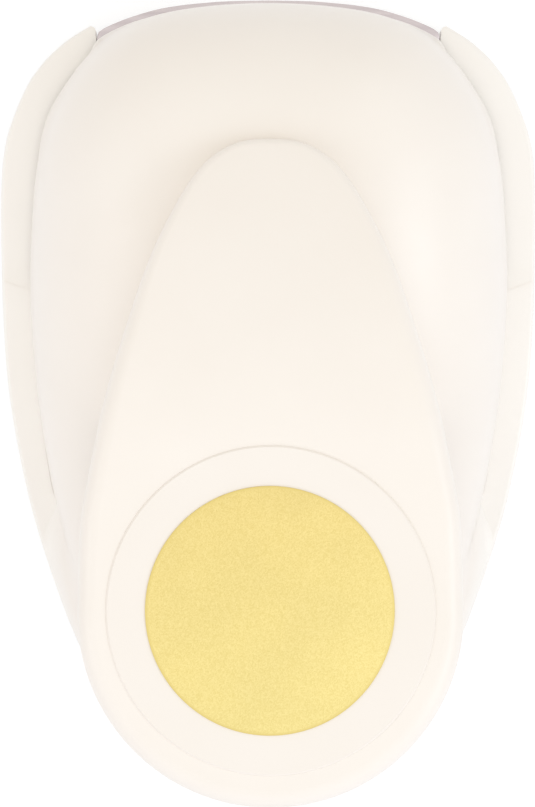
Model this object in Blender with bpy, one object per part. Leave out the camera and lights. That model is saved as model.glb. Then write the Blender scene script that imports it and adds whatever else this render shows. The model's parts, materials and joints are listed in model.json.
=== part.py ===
"""A desk punch that cuts a round disc out of card.

The card slides into the slot at the front, over a steel die plate. The long lever turns on a pin in the
nose. A cross pin in the lever bears on a bridge, which drives the round cutter down through the card,
and two springs lift it again. Metres, +Z up. The slot faces -Y, the palm rest is at +Y, and the origin
is under the middle of the punch, at the height of the soles of its feet.
"""

import math

import bmesh
import bpy
from mathutils import Vector
from mathutils.geometry import intersect_line_line_2d

MM = 0.001

# Overall sizes
BODY_LENGTH = 162.8 * MM
PAD_OVERHANG = 5.9 * MM
BODY_FLANK = 19.6 * MM
SEAT = 0.3 * MM
OVERRUN = 6.0 * MM

# The cut and the steel that makes it
PUNCH_DIAMETER = 50.8 * MM
CUT_CLEARANCE = 0.3 * MM
FRONT_LAND = 9.0 * MM
SIDE_LAND = 11.2 * MM
THROAT_LAND = 2.6 * MM
CLAMP_LENGTH = 14.0 * MM
DIE_THICKNESS = 6.0 * MM
DIE_NOSE_SAG = 1.7 * MM
DIE_CORNER_SETBACK = 6.8 * MM
DIE_NOSE_HALF_SHARE = 0.634
DIE_RELIEF = 0.9 * MM
DIE_LAND = 3.0 * MM
TRAY_SETBACK = 1.3 * MM
PAPER_GAP = 1.6 * MM
STROKE = 3.6 * MM

# Heights of the body
FOOT_PROUD = 1.2 * MM
FOOT_RECESS = 1.0 * MM
FOOT_RADIUS = 5.0 * MM
COVER_THICKNESS = 2.0 * MM
TABLE_TOP = 12.0 * MM
TABLE_STEP = 0.5 * MM
TRAY_WALL = 2.7 * MM
WALL = 2.4 * MM
EDGE_ROUND = 0.8 * MM
CHUTE_MARGIN = 1.5 * MM
COVER_CHUTE_MARGIN = 2.6 * MM

# The dome
HEADROOM = 0.5 * MM
DOME_POWER = 2.7
TAIL_POWER = 4.0
DOME_CENTRE_BACK = 46.8 * MM
TAIL_DROP = 26.0 * MM
TAIL_DROP_START_SHARE = 0.287
TAIL_DROP_END_SHARE = 0.877
FLARE_HEIGHT = 11.0 * MM
FLARE_START_SHARE = 0.6616
DOME_STEPS = 9
DOME_INNER_STEPS = 8
DOME_TOP_SHARE = 0.10
FLARE_SHARES = (0.35,)

# The lever
LEVER_SETBACK = 32.3 * MM
LEVER_NOSE_PROUD = 4.9 * MM
PAD_RADIUS = 38.8 * MM
PAD_RISE = 17.5 * MM
LEVER_TOP_POWER = 1.6
LEVER_ROUND = 3.6 * MM
LEVER_NOSE_ROUND = 1.4 * MM
LEVER_WALL = 2.4 * MM
LEVER_DRAFT = 0.8 * MM
LEVER_GAP = 1.0 * MM
LEVER_TAIL_DEPTH = 10.5 * MM
SKIRT_DROP = 2.0 * MM
OPENING_END_SHARE = 0.486
RIB_WIDTH = 2.0 * MM
RIB_DEPTH = 7.0 * MM
RIB_REACH_SHARE = 0.93

# The label on the palm rest
PAD_BORDER = 5.4 * MM
LABEL_SETBACK = 1.3 * MM
DISC_THICKNESS = 1.5 * MM
DISC_PROUD = 0.4 * MM
DISC_GAP = 0.25 * MM
DISC_EDGE = 0.35 * MM
LABEL_THICKNESS = 0.25 * MM
GLUE_LINE = 0.05 * MM

# The guide block, its ears and the pivot
GUIDE_THICKNESS = 10.0 * MM
GUIDE_FRONT_WALL = 2.8 * MM
GUIDE_SIDE_WALL = 12.6 * MM
GUIDE_CORNER = 13.0 * MM
PIVOT_ARM = 19.0 * MM
PIVOT_RADIUS = 2.4 * MM
PIVOT_PLAY = 0.2 * MM
EAR_PLAY = 0.8 * MM
EAR_THICKNESS = 4.0 * MM
EAR_RADIUS = 4.5 * MM
EAR_FOOT_LENGTH = 5.0 * MM
EAR_SWEEP_DEG = (-20, 190)
CLIP_THICKNESS = 0.8 * MM
CLIP_RADIUS = 4.2 * MM
CLIP_MOUTH_ANGLE = math.radians(80)
PIN_END = 1.2 * MM

# The steel arm inside the lever
ARM_HALF_WIDTH = 11.8 * MM
ARM_PLATE = 2.0 * MM
ARM_HOOK_RADIUS = 4.6 * MM
HOOK_SWEEP_DEG = (110, 270)
EYE_SWEEP_DEG = (250, 310)
PRESS_PIN_RADIUS = 3.0 * MM
PRESS_PIN_END = 0.6 * MM
ARM_PIN_MARGIN = 2.0 * MM
PRESS_PIN_LIFT = 1.0 * MM
ARM_WEB_TOP_GAP = 2.0 * MM
ARM_TAIL_DEPTH = 9.0 * MM
ARM_END_GAP = 2.9 * MM
ARM_STEP_BACK = 7.0 * MM
ARM_NECK = 3.4 * MM
ARM_BOSS_RADIUS = 3.6 * MM
ARM_SCREW_SHARES = (0.21, 0.87)

# The bridge that carries the cutter, its posts and springs
RAM_BODY = 8.0 * MM
RAM_REST_LIFT = 0.5 * MM
BRIDGE_CLEARANCE = 1.4 * MM
SHEAR_RELIEF = 1.2 * MM
SHEAR_EDGE = 1.2 * MM
NECK_RADIUS = 11.0 * MM
BRIDGE_THICKNESS = 4.0 * MM
BRIDGE_PAD_HEIGHT = 3.6 * MM
BRIDGE_PAD_HALF = 9.0 * MM
BRIDGE_DEPTH = 18.0 * MM
BRIDGE_END = 6.8 * MM
POST_OFFSET = 6.9 * MM
POST_RADIUS = 2.2 * MM
POST_PLAY = 0.3 * MM
POST_HEAD_RADIUS = 3.8 * MM
POST_HEAD = 2.0 * MM
POST_ROOT = 3.0 * MM
POCKET_FLOOR = 4.0 * MM
POCKET_RADIUS = 4.6 * MM
SPRING_RADIUS = 3.3 * MM
SPRING_WIRE = 0.45 * MM
SPRING_TURNS = 6.0
SPRING_POINTS = 9

# Screws
M3_RADIUS = 1.5 * MM
M3_HEAD = 2.9 * MM
M3_HEAD_HEIGHT = 1.6 * MM
M4_RADIUS = 2.0 * MM
M4_HEAD = 3.5 * MM
M4_HEAD_HEIGHT = 2.4 * MM
SCREW_PLAY = 0.25 * MM
BOSS_WALL = 1.9 * MM
HEAD_CROWN_SHARE = 0.86
BRIDGE_SCREW_EDGE = 3.0 * MM
COVER_SCREW_GRIP = 6.0 * MM
HOUSING_SCREW_GRIP = 8.0 * MM
DIE_SCREW_GRIP = 2.5 * MM
ARM_SCREW_GRIP = 4.0 * MM

# How finely round things are cut
LOOP_STEPS = 30
NOSE_STEPS = 6
ROUND_STEPS = 3
EAR_STEPS = 8
HOOK_STEPS = 6
EYE_STEPS = 4
BORE_SIDES = 48
PIN_SIDES = 16
HOLE_SIDES = 12

# Places that follow from the sizes above
LENGTH = BODY_LENGTH + PAD_OVERHANG
FRONT = -LENGTH / 2
REAR = LENGTH / 2
PUNCH_RADIUS = PUNCH_DIAMETER / 2
DIE_HALF = PUNCH_RADIUS + SIDE_LAND
DIE_CENTRE = FRONT + FRONT_LAND + PUNCH_RADIUS
PAPER_STOP = DIE_CENTRE + PUNCH_RADIUS + THROAT_LAND
DIE_REAR = PAPER_STOP + CLAMP_LENGTH
DIE_BOTTOM = TABLE_TOP - DIE_THICKNESS
GUIDE_BOTTOM = TABLE_TOP + PAPER_GAP
GUIDE_TOP = GUIDE_BOTTOM + GUIDE_THICKNESS
GUIDE_HALF = PUNCH_RADIUS + GUIDE_SIDE_WALL
BODY_HALF = GUIDE_HALF + BODY_FLANK
RIM = TABLE_TOP + TABLE_STEP + SEAT
PAD_CENTRE = REAR - PAD_RADIUS
LABEL_CENTRE = PAD_CENTRE - LABEL_SETBACK
LEVER_NOSE = FRONT + LEVER_SETBACK
LEVER_LENGTH = REAR - LEVER_NOSE
DISC_RADIUS = PAD_RADIUS - PAD_BORDER
PAD_FLAT = LABEL_CENTRE - DISC_RADIUS
FLARE_START = FRONT + BODY_LENGTH * FLARE_START_SHARE
DOME_CENTRE = FRONT + DOME_CENTRE_BACK
PIVOT_Y = DIE_CENTRE - PIVOT_ARM
RAM_BOTTOM = GUIDE_BOTTOM + RAM_REST_LIFT
RAM_TOP = RAM_BOTTOM + RAM_BODY
RAM_RADIUS = PUNCH_RADIUS - CUT_CLEARANCE
BRIDGE_BOTTOM = GUIDE_TOP + STROKE + RAM_REST_LIFT + BRIDGE_CLEARANCE
BRIDGE_TOP = BRIDGE_BOTTOM + BRIDGE_THICKNESS
BRIDGE_PAD_TOP = BRIDGE_TOP + BRIDGE_PAD_HEIGHT
PRESS_PIN_Z = BRIDGE_PAD_TOP + SEAT + PRESS_PIN_RADIUS
PIVOT_HEIGHT = PRESS_PIN_Z - PRESS_PIN_LIFT
EAR_INSIDE = ARM_HALF_WIDTH + EAR_PLAY
SKIRT_LOWEST = PIVOT_HEIGHT - SKIRT_DROP
POST_X = PUNCH_RADIUS + POST_OFFSET
POCKET_BOTTOM = GUIDE_BOTTOM + POCKET_FLOOR
COVER_TOP = FOOT_PROUD + COVER_THICKNESS

# Half outlines as (width share, length share), from the nose to the tail
BASE_SHARES = (
    (0.653, 0.034), (0.753, 0.052), (0.826, 0.079), (0.887, 0.105), (0.929, 0.131), (0.976, 0.184),
    (1.0, 0.288), (0.993, 0.398), (0.974, 0.503), (0.927, 0.607), (0.851, 0.714), (0.714, 0.847),
    (0.590, 0.914), (0.417, 0.963), (0.210, 0.991), (0.0, 1.0),
)
RIM_SHARES = (
    (0.0, 0.0055), (0.252, 0.0104), (0.401, 0.019), (0.530, 0.034), (0.641, 0.050), (0.710, 0.079),
    (0.767, 0.106), (0.835, 0.158), (0.884, 0.264), (0.892, 0.349), (0.877, 0.476), (0.826, 0.608),
    (0.799, 0.662), (0.708, 0.766), (0.573, 0.870), (0.380, 0.945), (0.180, 0.980), (0.0, 0.9895),
)
MIDDLE_SHARES = (0.2, 0.5, 0.85)
LEVER_SHARES = (
    (0.0, 0.0), (0.191, 0.010), (0.315, 0.031), (0.389, 0.0545), (0.492, 0.0996), (0.605, 0.168),
    (0.727, 0.259), (0.821, 0.349), (0.893, 0.438), (0.959, 0.528), (0.987, 0.587),
)
UNDERSIDE_SHARES = (
    (-0.10, 0.45), (0.0, 0.425), (0.06, 0.405), (0.16, 0.335), (0.27, 0.18), (0.37, 0.04), (0.405, 0.0),
    (0.428, 0.10), (0.444, 0.38), (0.466, 0.68), (0.53, 0.765), (0.70, 0.86), (0.88, 0.95), (1.10, 1.0),
)
FOOT_SHARES = ((0.62, 0.23), (0.36, 0.90))
COVER_SCREW_SHARES = ((0.80, 0.34), (0.11, 0.953))
HOUSING_SCREW_SHARES = ((0.745, 0.52), (0.46, 0.82))
DIE_SCREW_SHARES = (-0.74, 0.0, 0.74)


def catmull_rom(points, pieces):
    """A smooth open curve through the points, which runs past neither end."""
    ends = [2 * points[0] - points[1]] + points + [2 * points[-1] - points[-2]]
    curve = []
    for before, start, end, after in zip(ends, ends[1:], ends[2:], ends[3:]):
        for i in range(pieces):
            t = i / pieces
            bend = 2 * before - 5 * start + 4 * end - after
            twist = 3 * start - before - 3 * end + after
            curve.append(start + ((end - before) * t + bend * t * t + twist * t * t * t) / 2)
    curve.append(points[-1])
    return curve


def resample(curve, count):
    """The same curve with count + 1 points, evenly spaced along it."""
    reach = [0.0]
    for a, b in zip(curve, curve[1:]):
        reach.append(reach[-1] + (b - a).length)
    even, k = [], 0
    for i in range(count + 1):
        want = reach[-1] * i / count
        while k < len(curve) - 2 and reach[k + 1] < want:
            k += 1
        share = (want - reach[k]) / (reach[k + 1] - reach[k])
        even.append(curve[k].lerp(curve[k + 1], min(1.0, share)))
    return even


def closed_loop(half):
    """A half outline, from the nose round the right side, and its mirror image. An end may be on x = 0."""
    return half + [Vector((-p.x, p.y)) for p in reversed(half) if p.x]


def from_shares(shares, half_width, start, length):
    return [Vector((x * half_width, start + y * length)) for x, y in shares]


def grown(loop, distance):
    """The outline moved outwards by distance, or inwards if it is negative."""
    moved = []
    for i, p in enumerate(loop):
        along = loop[(i + 1) % len(loop)] - loop[i - 1]
        moved.append(p + distance * Vector((along.y, -along.x)).normalized())
    return moved


def base_outline():
    """The table and the tray under the die, whose front edge lies just behind the die's."""
    side = from_shares(BASE_SHARES, BODY_HALF, FRONT, BODY_LENGTH)
    nose = [p + Vector((0.0, TRAY_SETBACK)) for p in die_nose()]
    return closed_loop(nose[:-1] + resample(catmull_rom(side, 8), LOOP_STEPS))


def rim_outline():
    points = from_shares(RIM_SHARES, BODY_HALF, FRONT, BODY_LENGTH)
    return closed_loop(resample(catmull_rom(points, 8), LOOP_STEPS))


def lever_outline():
    """A blunt nose that widens into a true circle, the palm rest."""
    points = from_shares(LEVER_SHARES, PAD_RADIUS, LEVER_NOSE, LEVER_LENGTH)
    points.append(Vector((PAD_RADIUS, PAD_CENTRE)))
    front = resample(catmull_rom(points, 8), LOOP_STEPS * 2 // 3)
    steps = LOOP_STEPS - LOOP_STEPS * 2 // 3
    rear = []
    for i in range(1, steps + 1):
        turn = math.pi / 2 * i / steps
        rear.append(Vector((PAD_RADIUS * math.cos(turn), PAD_CENTRE + PAD_RADIUS * math.sin(turn))))
    rear[-1].x = 0.0
    return closed_loop(front + rear)


def die_nose():
    """Half of the die plate's front edge: a shallow arc, then a straight run to the corner."""
    half = DIE_HALF * DIE_NOSE_HALF_SHARE
    arc = []
    for i in range(NOSE_STEPS + 1):
        x = half * i / NOSE_STEPS
        arc.append(Vector((x, FRONT + DIE_NOSE_SAG * (x / half) ** 2)))
    return arc + [Vector((DIE_HALF, FRONT + DIE_CORNER_SETBACK))]


def smooth_step(value, start, end):
    t = min(1.0, max(0.0, (value - start) / (end - start)))
    return t * t * (3 - 2 * t)


def tail_share(y):
    """How far the dome has sunk towards its low tail, from 0 at the crown to 1 behind."""
    start = FRONT + BODY_LENGTH * TAIL_DROP_START_SHARE
    end = FRONT + BODY_LENGTH * TAIL_DROP_END_SHARE
    return smooth_step(y, start, end)


def outward(loop, p):
    """The point of a loop that lies straight out from the crown through p."""
    crown = Vector((0.0, DOME_CENTRE))
    far = crown + (p - crown) * 2
    for a, b in zip(loop, loop[1:] + loop[:1]):
        hit = intersect_line_line_2d(crown, far, a, b)
        if hit:
            return hit
    return p


def crest_over_pivot():
    """The crest at which the dome's nose leaves the ears, the clips and the pin their headroom."""
    inside = grown(rim_outline(), -WALL)
    crown = Vector((0.0, DOME_CENTRE))
    ear = EAR_INSIDE + EAR_THICKNESS
    clip = ear + SEAT + CLIP_THICKNESS
    crests = []
    for x, radius in ((ear, EAR_RADIUS), (clip, CLIP_RADIUS), (clip + PIN_END, PIVOT_RADIUS)):
        reach = (radius + HEADROOM) * math.sin(math.pi / 4)
        p = Vector((x, PIVOT_Y - reach))
        spread = (p - crown).length / (outward(inside, p) - crown).length
        lift = (1 - spread ** DOME_POWER) ** (1 / DOME_POWER)
        crests.append(RIM - SEAT + (PIVOT_HEIGHT + reach - RIM + SEAT) / lift + WALL)
    return max(crests)


# Heights that follow from the room which the pivot needs
DOME_CREST = crest_over_pivot()
LEVER_NOSE_TOP = DOME_CREST + LEVER_NOSE_PROUD
PAD_TOP = LEVER_NOSE_TOP + PAD_RISE


def lever_top(y):
    """The height of the lever's top: it climbs from the nose and is level under the palm."""
    left = max(0.0, (PAD_FLAT - y) / (PAD_FLAT - LEVER_NOSE))
    return PAD_TOP - (PAD_TOP - LEVER_NOSE_TOP) * left ** LEVER_TOP_POWER


def lever_underside():
    """The lever's lower edge seen from the side: deep cheeks that sink into the dome, then a slim tail."""
    rise = PAD_TOP - LEVER_TAIL_DEPTH - SKIRT_LOWEST
    points = []
    for y, z in UNDERSIDE_SHARES:
        points.append(Vector((LEVER_NOSE + LEVER_LENGTH * y, SKIRT_LOWEST + rise * z)))
    return [tuple(p) for p in catmull_rom(points, 3)]


def clear_scene():
    for obj in list(bpy.data.objects):
        bpy.data.objects.remove(obj, do_unlink=True)


def material(name, colour, roughness, metallic=0.0):
    made = bpy.data.materials.get(name) or bpy.data.materials.new(name)
    made.use_nodes = True
    shader = made.node_tree.nodes["Principled BSDF"]
    shader.inputs["Base Color"].default_value = (*colour, 1.0)
    shader.inputs["Roughness"].default_value = roughness
    shader.inputs["Metallic"].default_value = metallic
    return made


def cream():
    return material("cream_plastic", (0.93, 0.88, 0.81), 0.45)


def steel():
    return material("steel", (0.60, 0.59, 0.60), 0.35, 1.0)


def aluminium():
    return material("cast_aluminium", (0.55, 0.55, 0.57), 0.5, 1.0)


def add_mesh(name, mesh_build, location=(0, 0, 0)):
    """An object from a bmesh, with its faces turned outwards."""
    bmesh.ops.recalc_face_normals(mesh_build, faces=mesh_build.faces)
    mesh = bpy.data.meshes.new(name)
    mesh_build.to_mesh(mesh)
    mesh_build.free()
    obj = bpy.data.objects.new(name, mesh)
    bpy.context.scene.collection.objects.link(obj)
    obj.location = location
    return obj


def ladder(build, ring):
    """Closes a ring that is its own mirror image, with rungs from side to side."""
    shift = 1 if ring[0].co.x else 0
    for i in range((len(ring) - shift) // 2):
        corners = [ring[i], ring[i + 1], ring[-i - 1 - shift], ring[(-i - shift) % len(ring)]]
        build.faces.new(list(dict.fromkeys(corners)))


def bridge(build, lower, upper):
    for i, corner in enumerate(lower):
        build.faces.new((lower[i - 1], corner, upper[i], upper[i - 1]))


def loft(name, rings):
    """A closed solid through rings of (x, y, z) points, each its own mirror image about x = 0."""
    build = bmesh.new()
    rows = [[build.verts.new(p) for p in ring] for ring in rings]
    for lower, upper in zip(rows, rows[1:]):
        bridge(build, lower, upper)
    ladder(build, rows[0])
    ladder(build, rows[-1])
    return add_mesh(name, build)


def at_height(loop, z):
    return [(p.x, p.y, z) for p in loop]


def prism(name, loop, bottom, top):
    return loft(name, [at_height(loop, bottom), at_height(loop, top)])


def box(name, low, high):
    build = bmesh.new()
    bmesh.ops.create_cube(build, size=1.0)
    size = Vector(high) - Vector(low)
    middle = (Vector(high) + Vector(low)) / 2
    bmesh.ops.scale(build, vec=size, verts=build.verts)
    bmesh.ops.translate(build, vec=middle, verts=build.verts)
    return add_mesh(name, build)


def turned(name, profile, sides, location=(0, 0, 0)):
    """A solid of revolution about Z. The profile is (radius, z) pairs from the lower end to the upper."""
    build = bmesh.new()
    rows = []
    for radius, z in profile:
        row = []
        for i in range(sides):
            turn = 2 * math.pi * i / sides
            row.append(build.verts.new((radius * math.cos(turn), radius * math.sin(turn), z)))
        rows.append(row)
    for lower, upper in zip(rows, rows[1:]):
        bridge(build, lower, upper)
    build.faces.new(rows[0])
    build.faces.new(rows[-1])
    return add_mesh(name, build, location)


def rod(name, radius, bottom, top, sides, place=(0.0, 0.0)):
    return turned(name, [(radius, bottom), (radius, top)], sides, (*place, 0.0))


def cross_rod(name, radius, half_length, sides, place):
    """A rod along X, whose middle is at place."""
    obj = turned(name, [(radius, -half_length), (radius, half_length)], sides, place)
    obj.rotation_euler = (0.0, math.pi / 2, 0.0)
    return obj


def side_plate(name, outline, low_x, high_x):
    """An outline of (y, z) points extruded along X."""
    build = bmesh.new()
    near = [build.verts.new((low_x, y, z)) for y, z in outline]
    far = [build.verts.new((high_x, y, z)) for y, z in outline]
    bridge(build, near, far)
    build.faces.new(near)
    build.faces.new(far)
    return add_mesh(name, build)


def combine(obj, other, operation):
    """Joins other to obj, or cuts it from obj, and removes other."""
    modifier = obj.modifiers.new(operation.lower(), "BOOLEAN")
    modifier.operation = operation
    modifier.object = other
    modifier.solver = "EXACT"
    bpy.context.view_layer.update()
    graph = bpy.context.evaluated_depsgraph_get()
    made = bpy.data.meshes.new_from_object(obj.evaluated_get(graph))
    obj.modifiers.clear()
    obj.data = made
    bpy.data.objects.remove(other, do_unlink=True)


def cut(obj, *others):
    for other in others:
        combine(obj, other, "DIFFERENCE")


def join(obj, *others):
    for other in others:
        combine(obj, other, "UNION")


def finish(obj, look, parent=None, smooth_angle=35.0):
    """Gives the piece its material and shading, and hangs it on its joint."""
    obj.data.materials.clear()
    obj.data.materials.append(look)
    if obj.type == "MESH":
        obj.data.shade_smooth()
        obj.data.set_sharp_from_angle(angle=math.radians(smooth_angle))
    if parent is not None:
        bpy.context.view_layer.update()
        obj.parent = parent
        obj.matrix_parent_inverse = parent.matrix_world.inverted()
    return obj


def axis_empty(name, location):
    empty = bpy.data.objects.new(name, None)
    bpy.context.scene.collection.objects.link(empty)
    empty.location = location
    bpy.context.view_layer.update()
    return empty


def both_sides(shares, half_width):
    """Every (x, y) place in shares, on the right and on the left."""
    places = []
    for x, y in from_shares(shares, half_width, FRONT, BODY_LENGTH):
        places.append((x, y))
        places.append((-x, y))
    return places


def foot_places():
    return both_sides(FOOT_SHARES, BODY_HALF)


def cover_screw_places():
    return both_sides(COVER_SCREW_SHARES, BODY_HALF)


def housing_screw_places():
    return both_sides(HOUSING_SCREW_SHARES, BODY_HALF)


def die_screw_places():
    middle = (PAPER_STOP + DIE_REAR) / 2
    return [(DIE_HALF * share, middle) for share in DIE_SCREW_SHARES]


def bridge_screw_places():
    offset = BRIDGE_DEPTH / 2 - BRIDGE_SCREW_EDGE
    return [(0.0, DIE_CENTRE - offset), (0.0, DIE_CENTRE + offset)]


def post_places():
    return [(POST_X, DIE_CENTRE), (-POST_X, DIE_CENTRE)]


def die_outline(gap=0.0, ahead=0.0):
    """The die plate's plan, or with a gap and a nose moved ahead, the pocket that it lies in."""
    nose = [p - Vector((0.0, ahead)) for p in die_nose()]
    nose[-1].x += gap
    return closed_loop(nose + [Vector((DIE_HALF + gap, DIE_REAR + gap))])


def lower_housing():
    """The table, with prongs beside the die, over a hollow that the cover closes."""
    outline = base_outline()
    inside = grown(outline, -WALL)
    top = TABLE_TOP + TABLE_STEP
    base = loft("lower_housing", [
        at_height(grown(outline, -EDGE_ROUND), FOOT_PROUD),
        at_height(outline, FOOT_PROUD + EDGE_ROUND),
        at_height(outline, top - EDGE_ROUND),
        at_height(grown(outline, -EDGE_ROUND), top),
    ])
    tray_floor = COVER_TOP + SEAT
    hollow = prism("hollow", inside, -OVERRUN, TABLE_TOP - WALL)
    tray_half = DIE_HALF + SEAT + TRAY_WALL
    tray_rear = DIE_REAR + SEAT + TRAY_WALL
    tray = box("tray", (-tray_half, FRONT - OVERRUN, tray_floor), (tray_half, tray_rear, TABLE_TOP))
    cut(hollow, tray)
    cut(base, hollow)
    boss = M3_RADIUS + SCREW_PLAY + BOSS_WALL
    for place in cover_screw_places() + housing_screw_places():
        join(base, rod("boss", boss, tray_floor, TABLE_TOP - WALL / 2, HOLE_SIDES, place))
    wide = BODY_HALF + OVERRUN
    step = box("step", (-wide, FRONT - OVERRUN, TABLE_TOP), (wide, PAPER_STOP, top + OVERRUN))
    pocket = prism("pocket", die_outline(SEAT, OVERRUN), DIE_BOTTOM - SEAT, top + OVERRUN)
    chute = PUNCH_RADIUS + CHUTE_MARGIN
    cut(base, step, pocket, rod("chute", chute, -OVERRUN, top, BORE_SIDES, (0.0, DIE_CENTRE)))
    hole = M3_RADIUS + SCREW_PLAY
    for place in cover_screw_places():
        cut(base, rod("hole", hole, -OVERRUN, COVER_TOP + COVER_SCREW_GRIP + SEAT, HOLE_SIDES, place))
    for place in housing_screw_places():
        cut(base, rod("hole", hole, -OVERRUN, top + OVERRUN, HOLE_SIDES, place))
    for place in die_screw_places():
        cut(base, rod("hole", M4_RADIUS + SCREW_PLAY, -OVERRUN, top, HOLE_SIDES, place))
    return finish(base, cream())


def bottom_cover():
    """The plate that closes the base from below, with a round way out for the cut discs."""
    outline = grown(base_outline(), -WALL - SEAT)
    cover = prism("bottom_cover", outline, FOOT_PROUD, COVER_TOP)
    chute = PUNCH_RADIUS + COVER_CHUTE_MARGIN
    cut(cover, rod("chute", chute, -OVERRUN, COVER_TOP + OVERRUN, BORE_SIDES, (0.0, DIE_CENTRE)))
    for place in foot_places():
        cut(cover, rod("well", FOOT_RADIUS + SEAT, -OVERRUN, FOOT_PROUD + FOOT_RECESS, PIN_SIDES, place))
    for place in cover_screw_places() + housing_screw_places():
        cut(cover, rod("hole", M3_RADIUS + SCREW_PLAY, -OVERRUN, COVER_TOP + OVERRUN, HOLE_SIDES, place))
        well = M3_HEAD + SCREW_PLAY
        cut(cover, rod("well", well, -OVERRUN, FOOT_PROUD + COVER_THICKNESS / 2, HOLE_SIDES, place))
    return finish(cover, cream())


def feet():
    rubber = material("rubber", (0.10, 0.10, 0.10), 0.8)
    names = ("foot_front_right", "foot_front_left", "foot_rear_right", "foot_rear_left")
    height = FOOT_PROUD + FOOT_RECESS - GLUE_LINE
    for name, place in zip(names, foot_places()):
        profile = [(FOOT_RADIUS, 0.0), (FOOT_RADIUS, height)]
        finish(turned(name, profile, PIN_SIDES, (*place, 0.0)), rubber)


def dome_rings(outline, rim, crest, steps):
    """Rings of a dome that stands on an outline: drawn in towards the crown as they rise."""
    crown = Vector((0.0, DOME_CENTRE))
    rings = []
    for i in range(steps + 1):
        turn = math.pi / 2 * i / steps
        ring = []
        for p in outline:
            power = DOME_POWER + (TAIL_POWER - DOME_POWER) * tail_share(p.y)
            spread = max(DOME_TOP_SHARE, math.cos(turn) ** (2 / power))
            lift = (1 - spread ** power) ** (1 / power)
            flat = crown.lerp(p, spread)
            ring.append(Vector((*flat, rim + (crest - rim - TAIL_DROP * tail_share(flat.y)) * lift)))
        rings.append(ring)
    return rings


def flared(rings):
    """The dome's rings with its foot spread, behind the slot, to the edge of the table."""
    base = base_outline()
    foot = rings[0]
    spread = []
    for p in foot:
        flat = Vector((p.x, p.y))
        spread.append(outward(base, flat) - flat if p.y > FLARE_START else Vector((0.0, 0.0)))
    lowest = [p + Vector((*out, 0.0)) for p, out in zip(foot, spread)]
    made = [lowest]
    for share in FLARE_SHARES:
        ring = []
        for p, above, out in zip(foot, rings[1], spread):
            t = min(1.0, share * FLARE_HEIGHT / (above.z - p.z))
            ring.append(p.lerp(above, t) + Vector((*out, 0.0)) * (1 - share) ** 2)
        made.append(ring)
    return made + rings[1:]


def lever_opening(bottom, top):
    """The hole in the dome that the lever sinks into: its outline and a gap, up to the rear deck."""
    end = LEVER_NOSE + LEVER_LENGTH * OPENING_END_SHARE
    opening = prism("opening", grown(lever_outline(), LEVER_GAP), bottom, top)
    cut(opening, box("deck", (-PAD_RADIUS * 2, end, -OVERRUN), (PAD_RADIUS * 2, REAR * 2, top + OVERRUN)))
    return opening


def upper_housing():
    """The dome over the mechanism, hollow and open below, with the hole that the lever sinks into."""
    rim = rim_outline()
    wide = BODY_HALF + OVERRUN
    dome = loft("upper_housing", flared(dome_rings(rim, RIM, DOME_CREST, DOME_STEPS)))
    rings = dome_rings(grown(rim, -WALL), RIM - SEAT, DOME_CREST - WALL, DOME_INNER_STEPS)
    hollow = loft("hollow", [[p - Vector((0.0, 0.0, OVERRUN)) for p in rings[0]]] + rings)
    for place in housing_screw_places():
        radius = M3_RADIUS + SCREW_PLAY + BOSS_WALL
        cut(hollow, rod("boss", radius, RIM, DOME_CREST, HOLE_SIDES, place))
    cut(dome, hollow)
    slot_top = TABLE_TOP + PAPER_GAP
    cut(dome, box("slot", (-wide, FRONT - OVERRUN, -OVERRUN), (wide, PAPER_STOP, slot_top)))
    cut(dome, lever_opening(RIM, DOME_CREST + OVERRUN))
    for place in housing_screw_places():
        depth = RIM + HOUSING_SCREW_GRIP + SEAT
        cut(dome, rod("hole", M3_RADIUS + SCREW_PLAY, -OVERRUN, depth, HOLE_SIDES, place))
    return finish(dome, cream())


def die_plate():
    plate = prism("die_plate", die_outline(), DIE_BOTTOM, TABLE_TOP)
    place = (0.0, DIE_CENTRE)
    cut(plate, rod("bore", PUNCH_RADIUS, -OVERRUN, TABLE_TOP + OVERRUN, BORE_SIDES, place))
    relief = rod("relief", PUNCH_RADIUS + DIE_RELIEF, -OVERRUN, TABLE_TOP - DIE_LAND, BORE_SIDES, place)
    cut(plate, relief)
    for hole in die_screw_places():
        cut(plate, rod("hole", M4_RADIUS + SCREW_PLAY, -OVERRUN, TABLE_TOP + OVERRUN, HOLE_SIDES, hole))
    return finish(plate, steel())


def gap_shim():
    """The strip that keeps the slot open. Its front edge stops the card."""
    low = (-DIE_HALF, PAPER_STOP, TABLE_TOP + SEAT)
    shim = box("gap_shim", low, (DIE_HALF, DIE_REAR, GUIDE_BOTTOM - SEAT))
    for hole in die_screw_places():
        cut(shim, rod("hole", M4_RADIUS + SCREW_PLAY, -OVERRUN, GUIDE_TOP, HOLE_SIDES, hole))
    return finish(shim, steel())


def guide_outline():
    """The block's plan: a blunt front with cut corners, then straight sides."""
    front = DIE_CENTRE - PUNCH_RADIUS - GUIDE_FRONT_WALL
    points = [
        Vector((0.0, front)),
        Vector((GUIDE_HALF - GUIDE_CORNER, front + DIE_NOSE_SAG)),
        Vector((GUIDE_HALF, front + GUIDE_CORNER)),
        Vector((GUIDE_HALF, DIE_REAR)),
    ]
    return closed_loop(points)


def ear_outline():
    """An ear seen from the side: a foot on the block's front land, under a round head at the pivot."""
    front = DIE_CENTRE - PUNCH_RADIUS - GUIDE_FRONT_WALL / 2
    foot = [(front, GUIDE_TOP - SEAT), (front + EAR_FOOT_LENGTH, GUIDE_TOP - SEAT)]
    return foot + arc((PIVOT_Y, PIVOT_HEIGHT), EAR_RADIUS, EAR_SWEEP_DEG, EAR_STEPS)


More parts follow.
